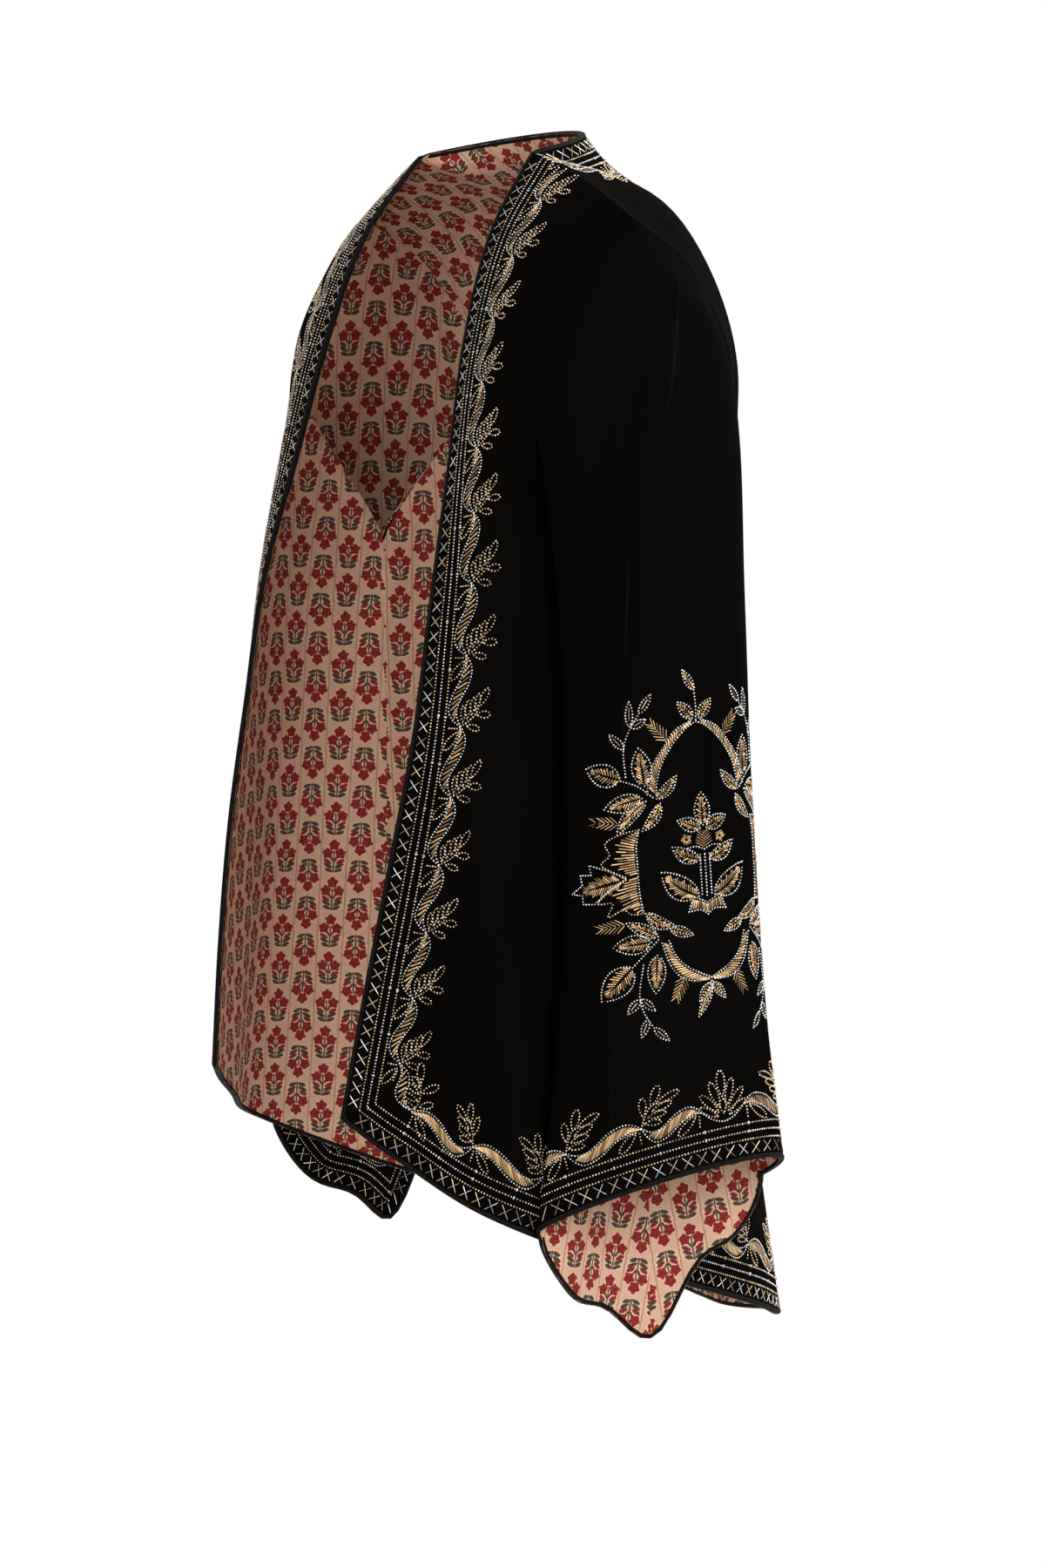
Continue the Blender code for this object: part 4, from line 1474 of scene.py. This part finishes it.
# Bumps: distance in metres and strength
VELVET_BUMP = (0.0004, 0.5)
LINING_BUMP = (0.0016, 0.8)
BINDING_BUMP = (0.0003, 0.6)

# The share of the print's pale halo, and the weave's height on the puckers
HALO_SHARE = 0.7
WEAVE_HEIGHT = 0.06

# Beads and threads: how dark the dullest is, metallic and roughness
Shine = namedtuple("Shine", "name dull metallic roughness")
SHINES = {
    "silver": Shine("silver_bead", 0.30, 0.8, 0.24),
    "gold": Shine("gold_bead", 0.22, 0.8, 0.26),
    "thread": Shine("gold_thread", 0.12, 0.7, 0.32),
}
# How much the fine noise lightens each bead and stitch as painted sheen, how far it varies their roughness,
# and the gain and shift of their own tone
SHEEN_SHARE = 0.4
GRAIN_ROUGHNESS = 0.2
TONE_SHARE = (0.9, -0.15)


def velvet_material():
    looks = settings().cloth
    made, maths, sockets = new_material(
        "velvet", Roughness=0.95, Specular_IOR_Level=0.012, Sheen_Weight=looks.velvet_sheen,
        Sheen_Roughness=0.28, Sheen_Tint=rgba(looks.velvet_sheen_tint),
    )
    nap_and_highlight = placed(maths, "pile_nap", nap_and_highlight_group, maths.object_place())
    ground = maths.mix(nap_and_highlight["Tone"], rgba(looks.velvet), rgba(looks.velvet, PILE_LIGHT))
    # Painted highlight: lighter thin lines where the pile is crushed
    colour = maths.mix(nap_and_highlight["Crush"], ground, rgba(looks.velvet, CRUSH_HIGHLIGHT))
    maths.put(sockets["Base Color"], colour)
    maths.put(sockets["Normal"], maths.bump(nap_and_highlight["Height"], *VELVET_BUMP))
    return made


def lining_material():
    looks = settings().cloth
    made, maths, sockets = new_material(
        "printed_cotton", Roughness=0.85, Specular_IOR_Level=0.1, Sheen_Weight=0.02,
    )
    flat = maths.node("ShaderNodeUVMap", uv_map="flat").outputs["UV"]
    weave = placed(maths, "plain_weave", weave_group, flat)
    stamp = placed(maths, "block_print", print_group, flat)
    worn = maths.ramp(maths.noise(flat, *WORN_NOISE), *WORN_RAMP)
    colour = maths.mix(weave["Tone"], rgba(looks.lining), rgba(looks.lining, THREAD_LIGHT))
    halo = maths.do("MULTIPLY", stamp["Halo"], HALO_SHARE)
    colour = maths.mix(halo, colour, rgba(looks.lining, HALO_LIGHT))
    # Print ink for leaves and flowers, and painted shade of the tucks for the dark lines between columns
    for mask, ink in (("Line", looks.tuck_shade), ("Leaf", looks.print_leaf), ("Flower", looks.print_flower)):
        colour = maths.mix(maths.do("MULTIPLY", stamp[mask], worn), colour, rgba(ink))
    maths.put(sockets["Base Color"], colour)
    pucker = maths.noise(maths.stretched(flat, PUCKER_STRETCH), *PUCKER_NOISE)
    height = maths.do("ADD", maths.do("MULTIPLY", weave["Height"], WEAVE_HEIGHT), pucker)
    maths.put(sockets["Normal"], maths.bump(height, *LINING_BUMP))
    return made


def binding_material():
    looks = settings().cloth
    made, maths, sockets = new_material(
        "binding_satin", Roughness=0.6, Specular_IOR_Level=0.07, Sheen_Weight=0.02, Sheen_Roughness=0.4,
    )
    rib = maths.noise(maths.object_place(), *RIB_NOISE)
    colour = maths.mix(rib, rgba(looks.binding), rgba(looks.binding, RIB_LIGHT))
    maths.put(sockets["Base Color"], colour)
    maths.put(sockets["Normal"], maths.bump(rib, *BINDING_BUMP))
    return made


def shiny_material(shine, bright):
    """Glass bead or metal thread, each bead or stitch a little lighter or darker by its own tone, and
    lightened in fine patches of painted sheen.
    """
    made, maths, sockets = new_material(shine.name, Roughness=shine.roughness, Metallic=shine.metallic)
    tone = maths.node("ShaderNodeAttribute", attribute_name="tone").outputs["Fac"]
    sheen_grain = maths.noise(maths.object_place(), *SHEEN_GRAIN_NOISE)
    # Each bead's or stitch's own tone, lightened in fine patches of painted sheen
    share = maths.ramp(sheen_grain, SHEEN_SHARE, maths.do("MULTIPLY_ADD", tone, *TONE_SHARE))
    maths.put(sockets["Base Color"], maths.mix(share, rgba(bright, shine.dull), rgba(bright)))
    rough = maths.do("MULTIPLY_ADD", sheen_grain, GRAIN_ROUGHNESS, shine.roughness - GRAIN_ROUGHNESS / 2)
    maths.put(sockets["Roughness"], rough)
    return made


def needle_materials():
    """Silver beads, gold beads and gold thread, made once."""
    looks = settings().beads
    return [
        bpy.data.materials.get(shine.name) or shiny_material(shine, getattr(looks, metal))
        for metal, shine in SHINES.items()
    ]


def colour_setting(name, description, default):
    return FloatVectorProperty(
        name=name, description=description, default=default, subtype="COLOR", size=3, min=0.0, max=1.0,
    )


def length_setting(name, description, default, **limits):
    return FloatProperty(
        name=name, description=description, default=default, subtype="DISTANCE", unit="LENGTH", **limits,
    )


def angle_setting(name, description, degrees):
    return FloatProperty(
        name=name, description=description, default=math.radians(degrees), subtype="ANGLE", unit="ROTATION",
    )


class JacketCloth(bpy.types.PropertyGroup):
    """Colours of the cloths."""

    velvet: colour_setting("Velvet", "Ground of the velvet's pile", (0.0013, 0.0011, 0.0009))
    velvet_sheen: FloatProperty(
        name="Velvet sheen", description="How much the pile lights up where it turns away",
        default=0.014, min=0.0, max=1.0, subtype="FACTOR",
    )
    velvet_sheen_tint: colour_setting("Sheen tint", "Colour of the pile's sheen", (0.55, 0.42, 0.36))
    lining: colour_setting("Lining", "Ground of the printed cotton", (0.55, 0.34, 0.225))
    print_flower: colour_setting("Print flowers", "Ink of the print's flowers", (0.19, 0.003, 0.006))
    print_leaf: colour_setting("Print leaves", "Ink of its leaves and stems", (0.036, 0.030, 0.022))
    # Colour of the painted shade along the tucks between the print's columns
    tuck_shade: colour_setting("Print lines", "Ink of the lines between columns", (0.30, 0.18, 0.10))
    binding: colour_setting("Binding", "Satin strip along the edges", (0.0028, 0.0021, 0.0018))


class JacketBeads(bpy.types.PropertyGroup):
    """Sizes and colours of beads and thread."""

    diameter: length_setting("Bead diameter", "Width of one glass bead", 1.25 * MM, min=0.5 * MM, max=4 * MM)
    pitch: length_setting(
        "Bead pitch", "Distance from bead to bead along a line", 1.9 * MM, min=0.5 * MM, max=6 * MM,
    )
    loop_pitch: length_setting(
        "Loop pitch", "Distance from bead to bead round an open loop", 2.0 * MM, min=0.5 * MM, max=6 * MM,
    )
    silver: colour_setting("Silver beads", "Silver-lined glass", (0.92, 0.91, 0.89))
    gold: colour_setting("Gold beads", "Gold-lined glass", (0.95, 0.74, 0.50))
    thread: colour_setting("Gold thread", "Metal thread of the filled shapes", (0.98, 0.62, 0.32))


class JacketStudio(bpy.types.PropertyGroup):
    """Place of the camera and of the floor."""

    azimuth: angle_setting("Azimuth", "Turn of the camera from the front to the wearer's left", 63.0)
    elevation: angle_setting("Elevation", "Height of the camera as an angle above level", 7.0)
    distance: length_setting("Distance", "From the camera to the point it looks at", 2.75, min=0.5)
    floor_drop: length_setting("Floor", "How far the floor lies below the jacket's origin", 1.45, min=0.8)


class JacketSettings(bpy.types.PropertyGroup):
    """All settings of the jacket."""

    cloth: PointerProperty(type=JacketCloth, name="Cloth", description="Colours of the cloths")
    beads: PointerProperty(type=JacketBeads, name="Beads", description="Sizes and colours of beads")
    studio: PointerProperty(type=JacketStudio, name="Studio", description="Camera and floor")


class JACKET_OT_velvet(bpy.types.Operator):
    """Add the five velvet pieces: two fronts, the back and two sleeves"""

    bl_idname = "jacket.velvet"
    bl_label = "Velvet pieces"

    def execute(self, context):
        dress("velvet", 0.0, -VELVET_THICK, velvet_material())
        return {"FINISHED"}


class JACKET_OT_lining(bpy.types.Operator):
    """Add the five lining pieces inside the velvet"""

    bl_idname = "jacket.lining"
    bl_label = "Lining pieces"

    def execute(self, context):
        dress("lining", -LINING_START, -LINING_END, lining_material())
        return {"FINISHED"}


# Section of the folded binding: distance in from the edge, height over the velvet, in millimetres
BINDING_SECTION = (
    (2.6, 0.05), (2.2, 0.34), (1.5, 0.50), (0.6, 0.40), (-0.2, -0.25), (-0.4, -1.45),
    (-0.2, -2.65), (0.6, -3.30), (1.5, -3.40), (2.2, -3.20), (2.6, -2.95),
)


def strip(name, node, line, normals, into, material):
    """The binding as a closed strip folded over one edge line."""
    section = np.array(BINDING_SECTION) * MM
    rails = line[:, None] + into[:, None] * section[None, :, :1] + normals[:, None] * section[None, :, 1:]
    count, wide = rails.shape[:2]
    mesh = bmesh.new()
    verts = [[mesh.verts.new(point) for point in rail] for rail in rails.tolist()]
    for i in range(count):
        j = (i + 1) % count
        for k in range(wide):
            m = (k + 1) % wide
            mesh.faces.new((verts[i][k], verts[j][k], verts[j][m], verts[i][m])).smooth = True
    made = new_object(name, finished_mesh(name, mesh), [material])
    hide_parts(node)


class JACKET_OT_binding(bpy.types.Operator):
    """Add the satin binding along the fronts, neck, hem and cuffs"""

    bl_idname = "jacket.binding"
    bl_label = "Binding"

    def execute(self, context):
        garment = Garment.get()
        material = binding_material()
        strip("binding", "binding_body", *garment.body.edge_line(), material)
        cuff = garment.sleeve.edge_line()
        for side, lines in (("left", cuff), ("right", [line * MIRROR for line in cuff])):
            strip(f"cuff_binding_{side}", f"binding_cuff_{side}", *lines, material)
        return {"FINISHED"}


# Where two edges' borders meet: search along one edge, and how much both keep of the line between
MEETING_REACH = 0.12
MEETING_STEPS = 241
SHARED = 0.0001


def meeting_place(edge, other, from_end, into, wanted):
    """How far along an edge a point at one depth lies a wanted distance from the other edge."""
    steps = np.linspace(0.0, MEETING_REACH, MEETING_STEPS)
    places = edge.length - steps if from_end else steps
    apart = other.apart(edge.at(places, np.full(len(places), into)))
    return places[np.argmin(np.abs(apart - wanted))]


CORNER_FROM_OPENING = 46.0
CORNER_FROM_HEM = 31.0
FRONT_TO_CORNER = 26.0
FRONT_HEM_WAVES = 4


def front_edges(panel):
    """The front's opening and hem as edges, and how far along each the corner's node lies."""
    flat = panel.flat_grid
    inside = flat[ROWS // 2, SHOULDER_COLUMNS // 2]
    opening, hem = Edge(flat[:, 0], inside), Edge(flat[-1], inside)
    deep, low = CORNER_FROM_OPENING * MM, CORNER_FROM_HEM * MM
    down = meeting_place(opening, hem, True, deep, low) / MM
    return opening, hem, down, meeting_place(hem, opening, False, low, deep) / MM


def front_works(panel):
    """The border down the front edge, round the corner and along the hem."""
    opening, hem, turn, turn_hem = front_edges(panel)
    by_opening, by_hem = along_edge(opening, 0.0, 1), along_edge(hem, 0.0, 1)
    down = Needlework(panel, by_opening, lambda at: opening.apart(at) <= hem.apart(at) + SHARED)
    sideways = down.moved(by_hem, lambda at: hem.apart(at) <= opening.apart(at) + SHARED)
    border_rows(down, -OVERRUN, opening.length / MM)
    border_rows(sideways, 0, hem.length / MM + OVERRUN)
    falling = down.moved(by_opening)
    last_node = turn - FRONT_TO_CORNER
    count = math.ceil(last_node / FRONT_WAVE)
    scroll(falling, last_node - count * FRONT_WAVE, count, FRONT_WAVE, FRONT_RISE, spray=FRONT_SPRAY)
    drift = CORNER_FROM_OPENING - SCROLL_START - NODE * FRONT_RISE
    bend = Wave(falling, last_node, FRONT_TO_CORNER, FRONT_RISE, (0.0, drift))
    bend.sew()
    bend.add(FRONT_SPRAY)
    lift = CORNER_FROM_HEM - SCROLL_START - NODE
    scroll(down.moved(by_hem), turn_hem, FRONT_HEM_WAVES, HEM_WAVE, shifts=(lift, 0.0))
    foot = opening.at(np.array([turn * MM]), np.array([CORNER_FROM_OPENING * MM]))[0]
    up = unit(panel.flat_grid[ROWS // 2, SHOULDER_COLUMNS // 3] - foot)
    corner_spray(down.moved(lambda chart: foot + right_of(up) * chart[:, :1] + up * chart[:, 1:]))
    return down


def back_works(panel, front):
    """The border round the left half of the back neck and along the left half of the back hem."""
    flat = panel.flat_grid
    middle = flat.shape[1] // 2
    inside = flat[ROWS // 2, middle + SHOULDER_COLUMNS // 2]
    neck = Edge(flat[0, middle:middle + NECK_COLUMNS + 1], inside)
    hem = Edge(flat[-1, middle:], inside)

    def left_half(at):
        return at[:, 0] >= flat[ROWS // 2, middle, 0]

    works = Needlework(panel, along_edge(neck, 0.0, 1), left_half)
    border_rows(works, 0, neck.length / MM + OVERRUN)
    round_neck = works.moved(along_edge(neck, neck.length, -1), left_half)
    waves = round(neck.length / MM / FRONT_WAVE)
    scroll(round_neck, 0, waves, neck.length / MM / waves, FRONT_RISE, spray=FRONT_SPRAY)
    border_rows(works.moved(along_edge(hem, 0.0, 1), left_half), 0, hem.length / MM + OVERRUN)
    below = works.moved(along_edge(hem, hem.length, -1), left_half)
    _, front_hem, _, turn_hem = front_edges(front)
    first = turn_hem + FRONT_HEM_WAVES * HEM_WAVE - front_hem.length / MM
    waves = round((hem.length / MM - first) / HEM_WAVE)
    Wave(below, first - HEM_WAVE, HEM_WAVE).sew()
    scroll(below, first, waves, (hem.length / MM - first) / waves)
    Wave(below, first, HEM_WAVE).add(HEM_SPRAY)
    return works


# The cuff's scroll, charted both ways from its palmette
CUFF_SHIFT = 5.0
CUFF_FIRST_WAVE = (12.5, 33.5)
CUFF_WAVE = 42.5
CUFF_WAVES = 4
CUFF_TROUGH = ((-12.5, 34), (-6, 28), (0, 26), (6, 28), (12.5, 34))
PALMETTE_FOOT = (0, 26)


def cuff_works(panel):
    """The cuff's border, the same both ways from its palmette near the sleeve's outer middle."""
    flat = panel.flat_grid
    cuff = Edge(flat[-1], flat[SLEEVE_RINGS // 2, SLEEVE_COLUMNS // 2])
    centre = cuff.places[SLEEVE_COLUMNS // 2] + CUFF_SHIFT * MM
    works = Needlework(panel, along_edge(cuff, centre, 1))
    border_rows(works, -centre / MM, (cuff.length - centre) / MM)
    for way in (1, -1):
        half = works.moved(along_edge(cuff, centre, way))
        start, length = CUFF_FIRST_WAVE
        Wave(half, start, length).sew()
        scroll(half, start + length, CUFF_WAVES, CUFF_WAVE)
        Wave(half, start + length, CUFF_WAVE).add(HEM_SPRAY)
    works.line(CUFF_TROUGH)
    palmette(works)
    return works


class JACKET_OT_borders(bpy.types.Operator):
    """Sew the beaded borders onto the fronts and the back"""

    bl_idname = "jacket.borders"
    bl_label = "Beaded borders"

    def execute(self, context):
        garment = Garment.get()
        materials = needle_materials()
        front = front_works(garment.front)
        sewn("beadwork_front_left", front, materials)
        sewn("beadwork_front_right", front, materials, left=False, right=True)
        sewn("beadwork_back", back_works(garment.back, garment.front), materials, right=True)
        return {"FINISHED"}


WREATH_HEIGHT = -0.4065
WREATH_SCALE = (1.10, 1.04)
WREATH_SHIFT = 4.5 * MM
WREATH_ROWS = 8


def wreath_places(panel):
    """Places that chart the wreath from its centre on the sleeve's outer middle, both ways round."""
    middle = SLEEVE_COLUMNS // 2
    height = panel.points.reshape(SLEEVE_RINGS + 1, SLEEVE_COLUMNS + 1, 3)[:, middle, 2]
    line = panel.flat_grid[:, middle]
    row = int(np.argmin(np.abs(height - WREATH_HEIGHT)))
    up = unit(line[row - WREATH_ROWS] - line[row + WREATH_ROWS])
    out = right_of(up)
    centre = line[row] + out * WREATH_SHIFT
    wide, tall = WREATH_SCALE
    return [
        lambda chart, way=way: centre + out * way * wide * chart[:, :1] + up * tall * chart[:, 1:]
        for way in (-1, 1)
    ]


class JACKET_OT_sleeve_beads(bpy.types.Operator):
    """Sew the cuff border and the wreath onto each sleeve"""

    bl_idname = "jacket.sleeve_beads"
    bl_label = "Beaded sleeves"

    def execute(self, context):
        panel = Garment.get().arm
        works = cuff_works(panel)
        places = wreath_places(panel)
        for place in places:
            half_wreath(works.moved(place))
        axis = works.moved(places[1])
        for leaf in AXIS_LEAVES:
            axis.leaf(*leaf)
        for stem in AXIS_STEMS:
            axis.line(stem)
        materials = needle_materials()
        sewn("beadwork_sleeve_left", works, materials)
        sewn("beadwork_sleeve_right", works, materials, left=False, right=True)
        return {"FINISHED"}


# The studio: what the camera looks at, its lens, the room's light, the floor and three soft lights
LOOK_AT = (0.0198, 0.0389, -0.392)
LENS = 100.6
ROOM_LIGHT = 0.55
FLOOR_SIDES = 96
FLOOR_RADIUS = 1.6
FLOOR_TONES = (0.90, 0.93)
Light = namedtuple("Light", "name azimuth elevation distance size power")
LIGHTS = (
    Light("key", 100.0, 30.0, 3.2, 1.8, 62.0),
    Light("fill", 42.0, 32.0, 3.2, 2.0, 38.0),
    Light("back", 170.0, 35.0, 3.2, 1.6, 58.0),
)


def seen_from(azimuth, elevation, distance):
    """A place around the jacket, by its turn from the front and its height."""
    flat = math.cos(elevation)
    way = Vector((math.sin(azimuth) * flat, -math.cos(azimuth) * flat, math.sin(elevation)))
    return Vector(LOOK_AT) + way * distance


def stood(name, data, place):
    """Stands a camera or a light at a place, turned to the jacket."""
    thing = linked(name, data)
    thing.location = place
    thing.rotation_euler = (Vector(LOOK_AT) - place).to_track_quat("-Z", "Y").to_euler()
    return thing


class JACKET_OT_stage(bpy.types.Operator):
    """Set the floor, the soft studio light and the camera"""

    bl_idname = "jacket.stage"
    bl_label = "Studio"

    def execute(self, context):
        studio = settings().studio
        self.floor(studio)
        self.lights()
        context.scene.view_settings.view_transform = "Standard"
        lens = bpy.data.cameras.new("camera")
        lens.lens = LENS
        place = seen_from(studio.azimuth, studio.elevation, studio.distance)
        context.scene.camera = stood("camera", lens, place)
        return {"FINISHED"}

    def floor(self, studio):
        bpy.ops.object.select_all(action="DESELECT")
        bpy.ops.mesh.primitive_circle_add(vertices=FLOOR_SIDES, radius=FLOOR_RADIUS, fill_type="NGON")
        floor = bpy.context.object
        floor.name = "floor"
        floor.location = (0.0, 0.0, -studio.floor_drop)
        made, maths, sockets = new_material("pale_floor", Roughness=0.9, Specular_IOR_Level=0.1)
        tones = [rgba([tone] * 3) for tone in FLOOR_TONES]
        maths.put(sockets["Base Color"], maths.mix(maths.noise(maths.object_place(), *FLOOR_NOISE), *tones))
        floor.data.materials.append(made)

    def lights(self):
        world = bpy.data.worlds.new("studio")
        world.use_nodes = True
        maths = Maths(world.node_tree)
        background = world.node_tree.nodes["Background"]
        background.inputs["Color"].default_value = (1.0, 1.0, 1.0, 1.0)
        seen = maths.node("ShaderNodeLightPath").outputs["Is Camera Ray"]
        strength = maths.do("MULTIPLY_ADD", seen, 1.0 - ROOM_LIGHT, ROOM_LIGHT)
        maths.put(background.inputs["Strength"], strength)
        bpy.context.scene.world = world
        for light in LIGHTS:
            lamp = bpy.data.lights.new(light.name, "AREA")
            lamp.size = light.size
            lamp.energy = light.power
            place = seen_from(math.radians(light.azimuth), math.radians(light.elevation), light.distance)
            stood(light.name, lamp, place)


OPERATORS = (
    JACKET_OT_velvet,
    JACKET_OT_lining,
    JACKET_OT_binding,
    JACKET_OT_borders,
    JACKET_OT_sleeve_beads,
    JACKET_OT_stage,
)


class JACKET_PT_sidebar(bpy.types.Panel):
    """The jacket's operators and settings in the sidebar"""

    bl_idname = "JACKET_PT_sidebar"
    bl_label = "Velvet jacket"
    bl_space_type = "VIEW_3D"
    bl_region_type = "UI"
    bl_category = "Jacket"

    def draw(self, context):
        for operator in OPERATORS:
            self.layout.operator(operator.bl_idname)
        chosen = context.scene.jacket
        for group in (chosen.cloth, chosen.beads, chosen.studio):
            box = self.layout.box()
            for name in group.bl_rna.properties.keys():
                if name not in ("rna_type", "name"):
                    box.prop(group, name)


CLASSES = (JacketCloth, JacketBeads, JacketStudio, JacketSettings, *OPERATORS, JACKET_PT_sidebar)


def register():
    for each in CLASSES:
        bpy.utils.register_class(each)
    bpy.types.Scene.jacket = PointerProperty(type=JacketSettings, name="Jacket", description="Settings")


def unregister():
    del bpy.types.Scene.jacket
    for each in reversed(CLASSES):
        bpy.utils.unregister_class(each)


def main():
    register()
    bpy.ops.jacket.velvet()
    bpy.ops.jacket.lining()
    bpy.ops.jacket.binding()
    bpy.ops.jacket.borders()
    bpy.ops.jacket.sleeve_beads()
    bpy.ops.jacket.stage()


if __name__ == "__main__":
    main()
